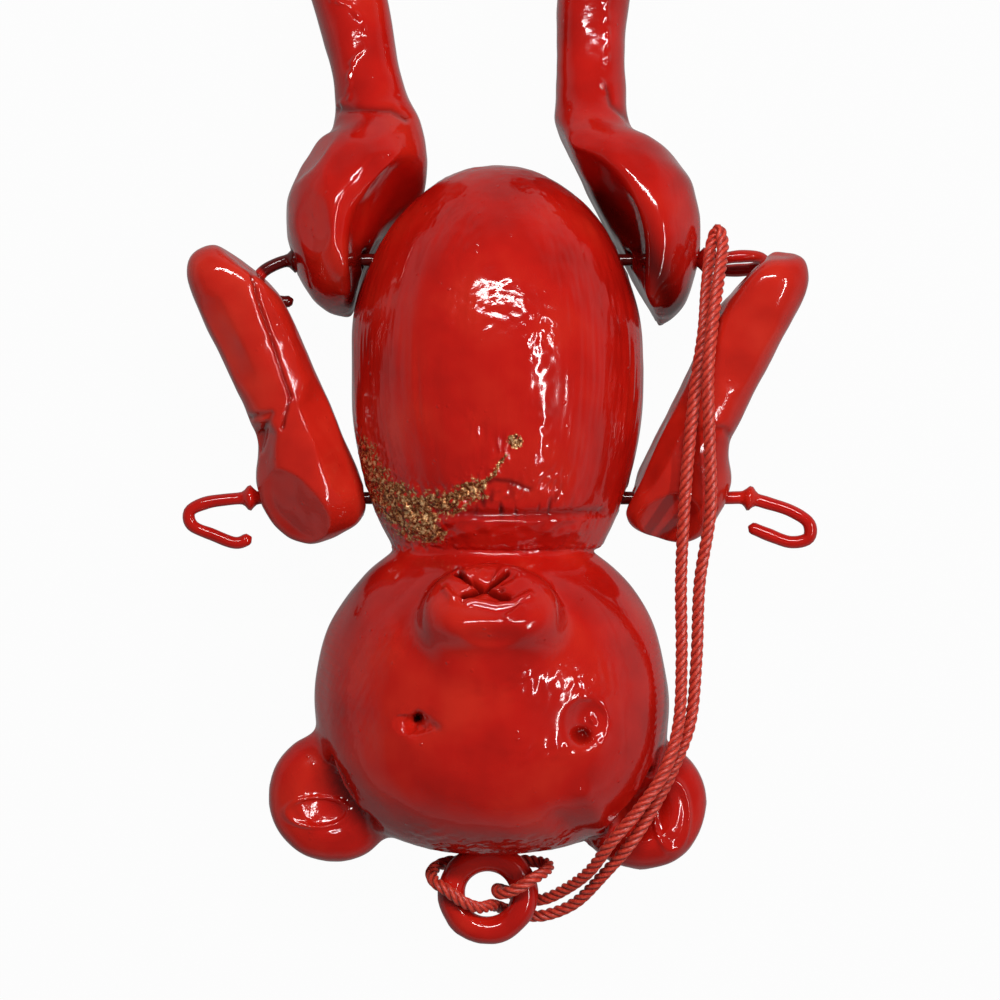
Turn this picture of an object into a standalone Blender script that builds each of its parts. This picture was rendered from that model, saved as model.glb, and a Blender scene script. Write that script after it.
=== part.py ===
"""Jointed teddy bear ornament, lying on its back as it was put down.

Metres, +Z up (the bear's front), feet toward +Y, hanging ring toward -Y. The origin is under the
middle of the bear's box, without its cord. Every casting is a loft of oval sections. The limbs
turn on two wires that cross the body and end in hairpin loops outside the limbs.
"""
import math

import bmesh
import bpy
from mathutils import Matrix, Vector

MM = 0.001

# Clearances
SEAM_GAP = 0.3 * MM
LIMB_GAP = 0.4 * MM
WIRE_CLEARANCE = 0.4 * MM

# Torso: an egg, round at the hips and cut flat at the neck
TORSO_HALF_WIDTH = 17.7 * MM
TORSO_HALF_DEPTH = 16.5 * MM
TORSO_WIDEST_Y = 4.0 * MM
TORSO_HIP_LENGTH = 24.0 * MM
TORSO_NECK_REACH = 31.2 * MM
NECK_Y = -18.0 * MM
TORSO_SIDES = 36
TORSO_STEPS = 10

# Head: a flattened ball, crown toward -Y
HEAD_HALF_WIDTH = 21.2 * MM
HEAD_HALF_DEPTH = 17.0 * MM
HEAD_CENTRE_X = -0.6 * MM
HEAD_CENTRE_Y = -36.8 * MM
CROWN_LENGTH = 17.8 * MM
CROWN_SQUARENESS = 2.5
CHEEK_REACH = 21.5 * MM
CHEEK_SQUARENESS = 2.2
HEAD_SIDES = 40

# Muzzle: a tapered oval snout that points at the chest
MUZZLE_FRONT_Y = -23.3 * MM
MUZZLE_FRONT_RISE = 17.4 * MM
MUZZLE_HALF_WIDTH = 7.9 * MM
MUZZLE_HALF_HEIGHT = 6.2 * MM
MUZZLE_LENGTH = 9.0 * MM
MUZZLE_FLARE = 3.2 * MM
MUZZLE_TILT = math.radians(40)
NOSE_HALF_WIDTH = 3.2 * MM
NOSE_HALF_HEIGHT = 2.0 * MM
NOSE_GROOVE_RADIUS = 0.65 * MM
NOSE_OFFSET_X = -0.6 * MM
NOSE_OFFSET_Y = 1.3 * MM

# Ears: thick discs with a hollow in front
EAR_RADIUS = 8.1 * MM
EAR_HALF_THICKNESS = 3.8 * MM
EAR_HOLLOW_RADIUS = 4.3 * MM
EAR_HOLLOW_DEPTH = 1.6 * MM
LEFT_EAR = (-19.5 * MM, -47.6 * MM)
RIGHT_EAR = (17.2 * MM, -48.6 * MM)

# Eyes: a conical pit on one side and a round bowl on the other
LEFT_EYE = (-9.8 * MM, -38.4 * MM)
LEFT_EYE_RADIUS = 2.1 * MM
LEFT_EYE_DEPTH = 1.7 * MM
RIGHT_EYE = (10.9 * MM, -39.0 * MM)
RIGHT_EYE_RADIUS = 2.8 * MM
RIGHT_EYE_DEPTH = 1.1 * MM

# Neck stud between head and torso
STUD_RADIUS = 3.0 * MM
STUD_IN_TORSO = 3.4 * MM
STUD_IN_HEAD = 8.0 * MM

# Hanging ring on its stem in the crown
RING_RADIUS = 4.4 * MM
RING_BAND_RADIUS = 1.7 * MM
RING_CENTRE_X = -1.1 * MM
RING_CENTRE_Y = -59.5 * MM
STEM_RADIUS = 1.5 * MM
STEM_LENGTH = 7.0 * MM

# Wires
WIRE_RADIUS = 0.75 * MM
SHOULDER_Y = -12.0 * MM
HIP_Y = 16.6 * MM

# Arms, in their own frame: Y runs from the axle to the paw, X points outward
ARM_LENGTH = 32.7 * MM
ARM_TAIL = 5.8 * MM
ARM_FACE = 5.7 * MM
ARM_SHOULDER_OUT = 4.9 * MM
ARM_FOREARM_OUT = 2.4 * MM
ARM_SHOULDER_DEPTH = 6.5 * MM
ARM_FOREARM_DEPTH = 4.5 * MM
RIGHT_ARM_SPLAY = math.radians(25.0)
LEFT_ARM_SPLAY = math.radians(22.5)
RIGHT_ARM_GAP = LIMB_GAP
LEFT_ARM_GAP = 1.6 * MM
ARM_SWING = 130
ARM_SIDES = 24

# Legs, in their own frame: Y runs from the axle to the sole, X points outward
LEG_LENGTH = 49.2 * MM
RIGHT_LEG_TAIL = 8.0 * MM
LEFT_LEG_TAIL = 5.8 * MM
LEG_FACE_ANGLE = math.radians(27.0)
THIGH_OUT = 9.0 * MM
THIGH_DEPTH = 11.0 * MM
SHANK_HALF_WIDTH = 4.1 * MM
SHANK_DEPTH = 4.5 * MM
SHANK_SHIFT = -4.2 * MM
FOOT_HALF_WIDTH = 5.0 * MM
FOOT_HEEL = 6.0 * MM
FOOT_TOE = 12.5 * MM
RIGHT_LEG_SPLAY = 0.0
LEFT_LEG_SPLAY = math.radians(11.0)
LEG_SWING = 90
LEG_BACK_SWING = 30
LEG_SIDES = 28

# The room that the torso takes as a limb swings
SWEEP_RADIUS = 30.0 * MM
SWEEP_RINGS = 15
SWEEP_SIDES = 36

# Cord
CORD_RADIUS = 0.75 * MM
CORD_STEP = 4.2 * MM

# The paws rest on the hip wire's loops, this far short of its axle
ARM_REST_Y = HIP_Y - 2.4 * MM
ARM_RISE = math.atan((ARM_FOREARM_DEPTH + WIRE_RADIUS + LIMB_GAP) / (ARM_REST_Y - SHOULDER_Y))

AXLE_Z = TORSO_HALF_DEPTH
HEAD_Z = HEAD_HALF_DEPTH

# The legs drop until the heels lie on the surface
HEEL_SHARE = 0.96
HEEL_REACH = math.hypot(HEEL_SHARE * LEG_LENGTH, FOOT_HEEL)
LEG_DROP = math.asin(AXLE_Z / HEEL_REACH) - math.atan(FOOT_HEEL / (HEEL_SHARE * LEG_LENGTH))


def material(name, colour, roughness, metallic):
    """A Principled material with one colour."""
    mat = bpy.data.materials.new(name)
    mat.use_nodes = True
    bsdf = mat.node_tree.nodes["Principled BSDF"]
    bsdf.inputs["Base Color"].default_value = (*colour, 1.0)
    bsdf.inputs["Roughness"].default_value = roughness
    bsdf.inputs["Metallic"].default_value = metallic
    return mat


def new_object(name, mesh, mat=None):
    """A mesh object in the scene, shaded smooth where it is round."""
    obj = bpy.data.objects.new(name, mesh)
    bpy.context.collection.objects.link(obj)
    if mat:
        mesh.materials.clear()
        mesh.materials.append(mat)
    return obj


def oval(half_x, half_y, sides, squareness=2.0):
    """Points of a superellipse, anticlockwise from +X."""
    power = 2.0 / squareness
    points = []
    for k in range(sides):
        angle = 2.0 * math.pi * k / sides
        c = math.cos(angle)
        s = math.sin(angle)
        x = half_x * math.copysign(abs(c) ** power, c)
        y = half_y * math.copysign(abs(s) ** power, s)
        points.append((x, y))
    return points


def skin(name, rings):
    """A closed mesh through a list of rings; a ring of one point closes to a tip."""
    mesh = bpy.data.meshes.new(name)
    bm = bmesh.new()
    loops = []
    for ring in rings:
        loops.append([bm.verts.new(p) for p in ring])
    for low, high in zip(loops, loops[1:]):
        count = max(len(low), len(high))
        for k in range(count):
            n = (k + 1) % count
            if len(low) == 1:
                bm.faces.new((low[0], high[n], high[k]))
            elif len(high) == 1:
                bm.faces.new((low[k], low[n], high[0]))
            else:
                bm.faces.new((low[k], low[n], high[n], high[k]))
    for loop in (loops[0], loops[-1]):
        if len(loop) > 1:
            bm.faces.new(loop)
    bmesh.ops.recalc_face_normals(bm, faces=bm.faces)
    bm.to_mesh(mesh)
    bm.free()
    return mesh


def ring_along_y(y, half_x, half_z, sides, squareness=2.0, x=0.0, z=0.0):
    """One oval section square to Y."""
    return [Vector((x + a, y, z - b)) for a, b in oval(half_x, half_z, sides, squareness)]


def cylinder(name, radius, start, end, sides=24):
    """A round bar between two points."""
    start = Vector(start)
    along = Vector(end) - start
    turn = along.to_track_quat("Z", "Y").to_matrix().to_4x4()
    rings = []
    for height in (0.0, along.length):
        place = Matrix.Translation(start) @ turn @ Matrix.Translation((0, 0, height))
        rings.append([place @ Vector((a, b, 0)) for a, b in oval(radius, radius, sides)])
    return new_object(name, skin(name, rings))


def block(name, size, place):
    """A box of a given size, centred on a placement."""
    mesh = bpy.data.meshes.new(name)
    bm = bmesh.new()
    bmesh.ops.create_cube(bm, size=1.0)
    bmesh.ops.scale(bm, vec=size, verts=bm.verts)
    bmesh.ops.transform(bm, matrix=place, verts=bm.verts)
    bm.to_mesh(mesh)
    bm.free()
    return new_object(name, mesh)


def combine(target, tool, operation, keep_tool=False):
    """Union or difference with a tool object, written into the target's mesh."""
    modifier = target.modifiers.new(operation, "BOOLEAN")
    modifier.operation = operation
    modifier.object = tool
    modifier.solver = "EXACT"
    bpy.context.view_layer.update()
    graph = bpy.context.evaluated_depsgraph_get()
    result = bpy.data.meshes.new_from_object(target.evaluated_get(graph), depsgraph=graph)
    target.modifiers.clear()
    target.data = result
    if not keep_tool:
        bpy.data.objects.remove(tool)


def finish(obj, mat):
    """Weld slivers, give the material and smooth shading."""
    bm = bmesh.new()
    bm.from_mesh(obj.data)
    bmesh.ops.remove_doubles(bm, verts=bm.verts, dist=0.00001)
    bmesh.ops.dissolve_degenerate(bm, edges=bm.edges, dist=0.000005)
    bm.to_mesh(obj.data)
    bm.free()
    obj.data.materials.clear()
    obj.data.materials.append(mat)
    obj.data.shade_smooth()
    obj.data.set_sharp_from_angle(angle=math.radians(32))


# Torso

def torso_scale(y):
    """The torso's size at a height along the body, as a share of its widest."""
    reach = TORSO_HIP_LENGTH if y > TORSO_WIDEST_Y else TORSO_NECK_REACH
    t = (y - TORSO_WIDEST_Y) / reach
    return math.sqrt(max(0.0, 1.0 - t * t))


def torso_egg():
    """The egg with its flat neck."""
    rings = [[Vector((0, TORSO_WIDEST_Y + TORSO_HIP_LENGTH, AXLE_Z))]]
    neck_angle = math.asin((TORSO_WIDEST_Y - NECK_Y) / TORSO_NECK_REACH)
    angles = [0.5 * math.pi * (1.0 - k / TORSO_STEPS) for k in range(1, TORSO_STEPS)]
    angles += [-neck_angle * k / TORSO_STEPS for k in range(TORSO_STEPS + 1)]
    for angle in angles:
        reach = TORSO_HIP_LENGTH if angle > 0 else TORSO_NECK_REACH
        y = TORSO_WIDEST_Y + reach * math.sin(angle)
        half = TORSO_HALF_WIDTH * math.cos(angle)
        depth = TORSO_HALF_DEPTH * math.cos(angle)
        rings.append(ring_along_y(y, half, depth, TORSO_SIDES, z=AXLE_Z))
    return new_object("torso", skin("torso", rings))


def make_torso(mat):
    torso = torso_egg()
    reach = TORSO_HALF_WIDTH * 2
    for y in (SHOULDER_Y, HIP_Y):
        bore = cylinder("bore", WIRE_RADIUS + WIRE_CLEARANCE, (-reach, y, AXLE_Z), (reach, y, AXLE_Z), 16)
        combine(torso, bore, "DIFFERENCE")
    socket_end = NECK_Y + STUD_IN_TORSO + SEAM_GAP
    start = (0, NECK_Y - STUD_IN_TORSO, AXLE_Z)
    socket = cylinder("socket", STUD_RADIUS + SEAM_GAP, start, (0, socket_end, AXLE_Z))
    combine(torso, socket, "DIFFERENCE")
    finish(torso, mat)
    return torso


# Head

def head_scale(y):
    """The head's size at a place along Y, as a share of its widest."""
    if y < HEAD_CENTRE_Y:
        t = (HEAD_CENTRE_Y - y) / CROWN_LENGTH
        power = CROWN_SQUARENESS
    else:
        t = (y - HEAD_CENTRE_Y) / CHEEK_REACH
        power = CHEEK_SQUARENESS
    return max(0.0, 1.0 - t ** power) ** (1.0 / power)


def head_front(x, y):
    """Height of the head's front surface above a point."""
    s = head_scale(y)
    t = min(1.0, abs(x - HEAD_CENTRE_X) / (HEAD_HALF_WIDTH * s))
    return HEAD_Z + HEAD_HALF_DEPTH * s * math.sqrt(1.0 - t * t)


def head_ball():
    """The flattened ball, from the crown to the flat at the neck."""
    rings = [[Vector((HEAD_CENTRE_X, HEAD_CENTRE_Y - CROWN_LENGTH, HEAD_Z))]]
    crown_steps = 10
    for k in range(1, crown_steps + 1):
        y = HEAD_CENTRE_Y - CROWN_LENGTH * math.cos(0.5 * math.pi * k / crown_steps) ** 0.8
        rings.append(head_ring(y))
    cheek_end = NECK_Y - SEAM_GAP
    cheek_steps = 9
    for k in range(1, cheek_steps + 1):
        y = HEAD_CENTRE_Y + (cheek_end - HEAD_CENTRE_Y) * math.sin(0.5 * math.pi * k / cheek_steps)
        rings.append(head_ring(y))
    return new_object("head", skin("head", rings))


def head_ring(y):
    s = head_scale(y)
    width = HEAD_HALF_WIDTH * s
    return ring_along_y(y, width, HEAD_HALF_DEPTH * s, HEAD_SIDES, x=HEAD_CENTRE_X, z=HEAD_Z)


def muzzle_place():
    """The muzzle's frame: Z out of the snout, Y toward the chin."""
    front = Vector((HEAD_CENTRE_X, MUZZLE_FRONT_Y, HEAD_Z + MUZZLE_FRONT_RISE))
    return Matrix.Translation(front) @ Matrix.Rotation(-MUZZLE_TILT, 4, "X")


def make_muzzle():
    """A snout with a soft front edge, wider toward the face."""
    profile = [
        (0.0, 0.62),
        (0.35, 0.80),
        (0.9, 0.93),
        (1.7, 1.0),
    ]
    place = muzzle_place()
    rings = []
    for back, size in profile:
        ring = oval(MUZZLE_HALF_WIDTH * size, MUZZLE_HALF_HEIGHT * size, HEAD_SIDES)
        rings.append([place @ Vector((a, b, -back * MM)) for a, b in ring])
    for share in (0.5, 0.8, 1.0):
        half_x = MUZZLE_HALF_WIDTH + MUZZLE_FLARE * share ** 2
        half_y = MUZZLE_HALF_HEIGHT + MUZZLE_FLARE * share ** 2
        ring = oval(half_x, half_y, HEAD_SIDES)
        rings.append([place @ Vector((a, b, -MUZZLE_LENGTH * share)) for a, b in ring])
    return new_object("muzzle", skin("muzzle", rings))


def make_ear(centre):
    """A disc with a round rim."""
    x, y = centre
    rings = [[Vector((x, y, HEAD_Z + EAR_HALF_THICKNESS))]]
    steps = 8
    for k in range(1, steps):
        angle = math.pi * k / steps
        r = EAR_RADIUS * math.sin(angle) ** 0.7
        z = HEAD_Z + EAR_HALF_THICKNESS * math.copysign(abs(math.cos(angle)) ** 0.8, math.cos(angle))
        rings.append([Vector((x + a, y + b, z)) for a, b in oval(r, r, 28)])
    rings.append([Vector((x, y, HEAD_Z - EAR_HALF_THICKNESS))])
    return new_object("ear", skin("ear", rings))


def dish(name, x, y, z, radius, depth, sides=20):
    """A shallow ball that cuts a round hollow of one radius and depth."""
    ball = (radius * radius + depth * depth) / (2.0 * depth)
    centre = z - depth + ball
    rings = [[Vector((x, y, centre - ball))]]
    edge = math.asin(min(1.0, radius / ball)) * 1.6
    steps = 5
    for k in range(1, steps + 1):
        angle = min(edge, 0.5 * math.pi) * k / steps
        r = ball * math.sin(angle)
        rings.append([Vector((x + a, y + b, centre - ball * math.cos(angle))) for a, b in oval(r, r, sides)])
    return new_object(name, skin(name, rings))


def make_head(mat):
    head = head_ball()
    combine(head, make_muzzle(), "UNION")
    for centre in (LEFT_EAR, RIGHT_EAR):
        combine(head, make_ear(centre), "UNION")
    for x, y in (LEFT_EAR, RIGHT_EAR):
        front = HEAD_Z + EAR_HALF_THICKNESS
        hollow = dish("hollow", x, y - 0.8 * MM, front, EAR_HOLLOW_RADIUS, EAR_HOLLOW_DEPTH)
        combine(head, hollow, "DIFFERENCE")
    cut_eyes(head)
    cut_nose(head)
    neck = NECK_Y - SEAM_GAP
    trim = block("trim", (80 * MM, 10 * MM, 80 * MM), Matrix.Translation((0, neck + 5 * MM, HEAD_Z)))
    combine(head, trim, "DIFFERENCE")
    end = (0, neck - STUD_IN_HEAD - SEAM_GAP, AXLE_Z)
    socket = cylinder("socket", STUD_RADIUS + SEAM_GAP, (0, neck + STUD_IN_HEAD, AXLE_Z), end)
    combine(head, socket, "DIFFERENCE")
    combine(head, ring_solid("ring_seat", SEAM_GAP), "DIFFERENCE")
    finish(head, mat)
    return head


def cut_eyes(head):
    """A conical pit for one eye and a round bowl for the other."""
    x, y = LEFT_EYE
    z = head_front(x, y)
    tip = [Vector((x, y, z - LEFT_EYE_DEPTH))]
    rise = 2.0 * MM
    mouth = LEFT_EYE_RADIUS * (1.0 + rise / LEFT_EYE_DEPTH)
    rim = [Vector((x + a, y + b, z + rise)) for a, b in oval(mouth, 0.75 * mouth, 20)]
    pit = new_object("pit", skin("pit", [tip, rim]))
    combine(head, pit, "DIFFERENCE")
    x, y = RIGHT_EYE
    bowl = dish("bowl", x, y, head_front(x, y), RIGHT_EYE_RADIUS, RIGHT_EYE_DEPTH)
    combine(head, bowl, "DIFFERENCE")


def cut_nose(head):
    """Two crossed grooves in the muzzle's front."""
    place = muzzle_place()
    for side in (-1, 1):
        low = NOSE_OFFSET_Y - side * NOSE_HALF_HEIGHT
        high = NOSE_OFFSET_Y + side * NOSE_HALF_HEIGHT
        start = place @ Vector((NOSE_OFFSET_X - NOSE_HALF_WIDTH, low, 0))
        end = place @ Vector((NOSE_OFFSET_X + NOSE_HALF_WIDTH, high, 0))
        combine(head, cylinder("groove", NOSE_GROOVE_RADIUS, start, end, 10), "DIFFERENCE")


def make_stud(mat):
    stud = cylinder(
        "neck_stud",
        STUD_RADIUS,
        (0, NECK_Y - SEAM_GAP - STUD_IN_HEAD, AXLE_Z),
        (0, NECK_Y + STUD_IN_TORSO, AXLE_Z),
    )
    finish(stud, mat)
    return stud


# Hanging ring

def ring_solid(name, grow=0.0):
    """The ring and its stem, grown all round for a clearance."""
    bands = []
    for k in range(28):
        angle = 2.0 * math.pi * k / 28
        out = Vector((math.cos(angle), math.sin(angle), 0))
        centre = Vector((RING_CENTRE_X, RING_CENTRE_Y, HEAD_Z)) + out * RING_RADIUS
        section = oval(RING_BAND_RADIUS + grow, RING_BAND_RADIUS + grow, 14)
        bands.append([centre + out * a + Vector((0, 0, b)) for a, b in section])
    mesh = bpy.data.meshes.new(name)
    bm = bmesh.new()
    loops = [[bm.verts.new(p) for p in band] for band in bands]
    for k, loop in enumerate(loops):
        after = loops[(k + 1) % len(loops)]
        for n in range(len(loop)):
            m = (n + 1) % len(loop)
            bm.faces.new((loop[n], loop[m], after[m], after[n]))
    bmesh.ops.recalc_face_normals(bm, faces=bm.faces)
    bm.to_mesh(mesh)
    bm.free()
    ring = new_object(name, mesh)
    top = RING_CENTRE_Y + RING_RADIUS
    stem = cylinder(
        "stem",
        STEM_RADIUS + grow,
        (RING_CENTRE_X, top, HEAD_Z),
        (RING_CENTRE_X, top + STEM_LENGTH + grow, HEAD_Z),
        16,
    )
    combine(ring, stem, "UNION")
    return ring


# Limbs

def torso_touch(axle_y, slope):
    """Where a line of one slope, laid against the torso's side, stands at the axle."""
    best = 0.0
    steps = 400
    top = TORSO_WIDEST_Y + TORSO_HIP_LENGTH
    for k in range(steps + 1):
        y = NECK_Y + (top - NECK_Y) * k / steps
        best = max(best, TORSO_HALF_WIDTH * torso_scale(y) - slope * (y - axle_y))
    return best


def limb_mesh(name, sections, sides, squareness):
    """A loft of sections, each (y, inner x, outer x, back z, front z); equal values make a tip."""
    rings = []
    for y, inner, outer, back, front in sections:
        x = 0.5 * (inner + outer)
        z = 0.5 * (back + front)
        half_x = 0.5 * (outer - inner)
        half_z = 0.5 * (front - back)
        if half_x < 0.01 * MM:
            rings.append([Vector((x, y, z))])
        else:
            rings.append(ring_along_y(y, half_x, half_z, sides, squareness, x, z))
    return skin(name, rings)


def swept_torso(side, axle_y, back, forward):
    """The room that the torso takes while a limb swings on its axle, seen from the limb."""
    swings = [math.radians(a) for a in range(-back, forward + 1, 5)]
    low = 1.0 * MM

    def reach(radius, angle):
        """How far out the torso stands at one place of the limb, over the whole swing."""
        widest = low
        for swing in swings:
            y = axle_y + radius * math.cos(angle + swing)
            z = radius * math.sin(angle + swing)
            s = torso_scale(y)
            t = 1.0 - (z / (TORSO_HALF_DEPTH * s)) ** 2 if s > 0 else 0.0
            if y > NECK_Y and t > 0:
                widest = max(widest, TORSO_HALF_WIDTH * s * math.sqrt(t) + LIMB_GAP)
        return widest

    def point(x, radius, angle):
        y = axle_y + radius * math.cos(angle)
        return Vector((side * x, y, AXLE_Z + radius * math.sin(angle)))

    turns = [2.0 * math.pi * k / SWEEP_SIDES for k in range(SWEEP_SIDES)]
    rings = [[point(reach(0.0, 0.0), 0.0, 0.0)]]
    for n in range(1, SWEEP_RINGS + 1):
        radius = SWEEP_RADIUS * n / SWEEP_RINGS
        rings.append([point(reach(radius, a), radius, a) for a in turns])
    rings.append([point(-low, SWEEP_RADIUS, a) for a in turns])
    return new_object("swept_torso", skin("swept_torso", rings))


def bore_limb(limb, axle_y):
    """Drill the limb along its axle, with room round the wire."""
    reach = 45 * MM
    hole = cylinder(
        "hole", WIRE_RADIUS + WIRE_CLEARANCE, (-reach, axle_y, AXLE_Z), (reach, axle_y, AXLE_Z), 16
    )
    combine(limb, hole, "DIFFERENCE")


def arm_sections():
    """The arm from behind the shoulder to the tip of the paw."""
    deep_in = -ARM_FACE - 1.6 * MM
    out = ARM_SHOULDER_OUT
    fore = ARM_FOREARM_OUT
    depth = ARM_SHOULDER_DEPTH
    slim = ARM_FOREARM_DEPTH
    tail = ARM_TAIL
    tip = ARM_LENGTH
    return [
        (-tail, -1.0 * MM, -1.0 * MM, 0, 0),
        (-0.88 * tail, 0.75 * deep_in, 0.42 * out, -0.50 * depth, 0.50 * depth),
        (-0.62 * tail, 0.92 * deep_in, 0.76 * out, -0.78 * depth, 0.78 * depth),
        (-0.22 * tail, deep_in, 0.97 * out, -0.96 * depth, 0.96 * depth),
        (0.06 * tip, deep_in, out, -depth, depth),
        (0.14 * tip, deep_in, 0.90 * out, -0.95 * depth, 0.95 * depth),
        (0.20 * tip, deep_in, 0.66 * out, -0.84 * depth, 0.84 * depth),
        (0.26 * tip, deep_in, 0.95 * fore, -1.12 * slim, 1.12 * slim),
        (0.42 * tip, deep_in, 0.90 * fore, -slim, slim),
        (0.64 * tip, deep_in, fore, -slim, slim),
        (0.84 * tip, deep_in, 1.12 * fore, -slim, slim),
        (0.92 * tip, 0.70 * deep_in, 0.98 * fore, -0.88 * slim, 0.88 * slim),
        (0.98 * tip, 0.44 * deep_in, 0.50 * fore, -0.55 * slim, 0.55 * slim),
        (tip, -0.9 * MM, -0.9 * MM, 0, 0),
    ]


def make_arm(name, side, splay, gap, mat):
    """One arm, lofted in its own frame, laid in place, trimmed flat inside, relieved and drilled."""
    face_x = torso_touch(SHOULDER_Y, math.tan(splay)) + gap / math.cos(splay)
    origin_x = face_x + ARM_FACE / math.cos(splay)
    place = limb_place(side, origin_x, SHOULDER_Y, splay, ARM_RISE)
    mesh = limb_mesh(name, arm_sections(), ARM_SIDES, 2.3)
    mesh.transform(place)
    if side < 0:
        mesh.flip_normals()
    arm = new_object(name, mesh)
    thick = 20 * MM
    inside = Matrix.Translation((-ARM_FACE - 0.5 * thick, 0, 0))
    combine(arm, block("flat", (thick, 90 * MM, 60 * MM), place @ inside), "DIFFERENCE")
    combine(arm, swept_torso(side, SHOULDER_Y, 0, ARM_SWING), "DIFFERENCE")
    bore_limb(arm, SHOULDER_Y)
    finish(arm, mat)
    return arm


def limb_place(side, origin_x, axle_y, splay, rise):
    """From a limb's own frame to its place: mirrored to its side, splayed and raised."""
    mirror = Matrix.Diagonal((side, 1, 1, 1))
    lean = Matrix.Rotation(-splay, 4, "Z")
    pitch = Matrix.Rotation(rise, 4, "X")
    return Matrix.Translation((side * origin_x, axle_y, AXLE_Z)) @ pitch @ mirror @ lean


def leg_sections(tail):
    """The leg from behind the hip to the flat sole; the foot points forward."""
    out = THIGH_OUT
    depth = THIGH_DEPTH
    shank = SHANK_HALF_WIDTH
    slim = SHANK_DEPTH
    mid = SHANK_SHIFT
    length = LEG_LENGTH
    foot = FOOT_HALF_WIDTH
    heel = FOOT_HEEL
    toe = FOOT_TOE
    ankle = mid + 0.8 * MM
    return [
        (-tail, 0.25 * out, 0.25 * out, 0, 0),
        (-0.90 * tail, -0.30 * out, 0.62 * out, -0.45 * depth, 0.45 * depth),
        (-0.62 * tail, -0.60 * out, 0.82 * out, -0.72 * depth, 0.72 * depth),
        (0.0, -0.80 * out, 0.97 * out, -0.95 * depth, 0.95 * depth),
        (0.09 * length, -0.92 * out, out, -depth, depth),
        (0.18 * length, -out, 0.92 * out, -0.96 * depth, 0.96 * depth),
        (0.26 * length, -1.07 * out, 0.62 * out, -0.80 * depth, 0.80 * depth),
        (0.32 * length, mid - 1.30 * shank, mid + 1.30 * shank, -1.35 * slim, 1.35 * slim),
        (0.38 * length, mid - 1.05 * shank, mid + 1.05 * shank, -1.10 * slim, 1.10 * slim),
        (0.48 * length, mid - shank, mid + shank, -slim, slim),
        (0.64 * length, mid - 1.02 * shank, mid + 1.14 * shank, -1.04 * slim, 1.06 * slim),
        (0.78 * length, ankle - 0.90 * foot, ankle + 0.94 * foot, -0.84 * heel, 0.42 * toe),
        (0.835 * length, ankle - 0.95 * foot, ankle + 0.97 * foot, -0.93 * heel, 0.56 * toe),
        (0.87 * length, ankle - foot, ankle + foot, -0.98 * heel, 0.80 * toe),
        (0.91 * length, ankle - 1.04 * foot, ankle + 1.04 * foot, -heel, 0.95 * toe),
        (HEEL_SHARE * length, ankle - 1.02 * foot, ankle + 1.02 * foot, -0.98 * heel, toe),
        (0.988 * length, ankle - 0.95 * foot, ankle + 0.95 * foot, -0.92 * heel, 0.97 * toe),
        (length, ankle - 0.84 * foot, ankle + 0.84 * foot, -0.80 * heel, 0.90 * toe),
    ]


def make_leg(name, side, splay, tail, mat):
    """One leg, lofted, laid in place, trimmed against the torso, relieved and drilled."""
    slope = -math.tan(LEG_FACE_ANGLE)
    face_x = torso_touch(HIP_Y, slope) + LIMB_GAP / math.cos(LEG_FACE_ANGLE)
    place = limb_place(side, face_x, HIP_Y, splay, -LEG_DROP)
    mesh = limb_mesh(name, leg_sections(tail), LEG_SIDES, 2.2)
    mesh.transform(place)
    if side < 0:
        mesh.flip_normals()
    leg = new_object(name, mesh)
    thick = 24 * MM
    flat = limb_place(side, face_x, HIP_Y, -LEG_FACE_ANGLE, 0.0)
    inside = Matrix.Translation((-0.5 * thick, 0, 0))
    combine(leg, block("flat", (thick, 60 * MM, 60 * MM), flat @ inside), "DIFFERENCE")
    combine(leg, swept_torso(side, HIP_Y, LEG_BACK_SWING, LEG_SWING), "DIFFERENCE")
    bore_limb(leg, HIP_Y)
    finish(leg, mat)
    return leg


# Wires and cord

def smooth_route(points, longest, bend=20.0):
    """Points along a smooth curve through the route's own points, closer where it bends."""
    knots = [Vector(p) * MM for p in points]
    ends = [2 * knots[0] - knots[1]] + knots + [2 * knots[-1] - knots[-2]]
    fine = []
    for a, b, c, d in zip(ends, ends[1:], ends[2:], ends[3:]):
        for k in range(24):
            t = k / 24
            p = 2 * b + (c - a) * t + (2 * a - 5 * b + 4 * c - d) * t * t
            fine.append(0.5 * (p + (3 * b - a - 3 * c + d) * t ** 3))
    fine.append(knots[-1])
    route = [fine[0]]
    heading = fine[1] - fine[0]
    for a, b in zip(fine[1:], fine[2:]):
        turned = math.degrees((b - a).angle(heading))
        if (a - route[-1]).length > longest or turned > bend:
            route.append(a)
            heading = b - a
    if (fine[-1] - route[-1]).length < 0.3 * longest:
        route.pop()
    route.append(fine[-1])
    return route


def rod(name, points, radius, mat):
    """A round wire or cord along points, with closed ends."""
    curve = bpy.data.curves.new(name, "CURVE")
    curve.dimensions = "3D"
    curve.bevel_depth = radius
    curve.bevel_resolution = 2
    curve.use_fill_caps = True
    spline = curve.splines.new("POLY")
    spline.points.add(len(points) - 1)
    for point, place in zip(spline.points, points):
        point.co = (*place, 1.0)
    curve.materials.append(mat)
    obj = bpy.data.objects.new(name, curve)
    bpy.context.collection.objects.link(obj)
    return obj


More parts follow.
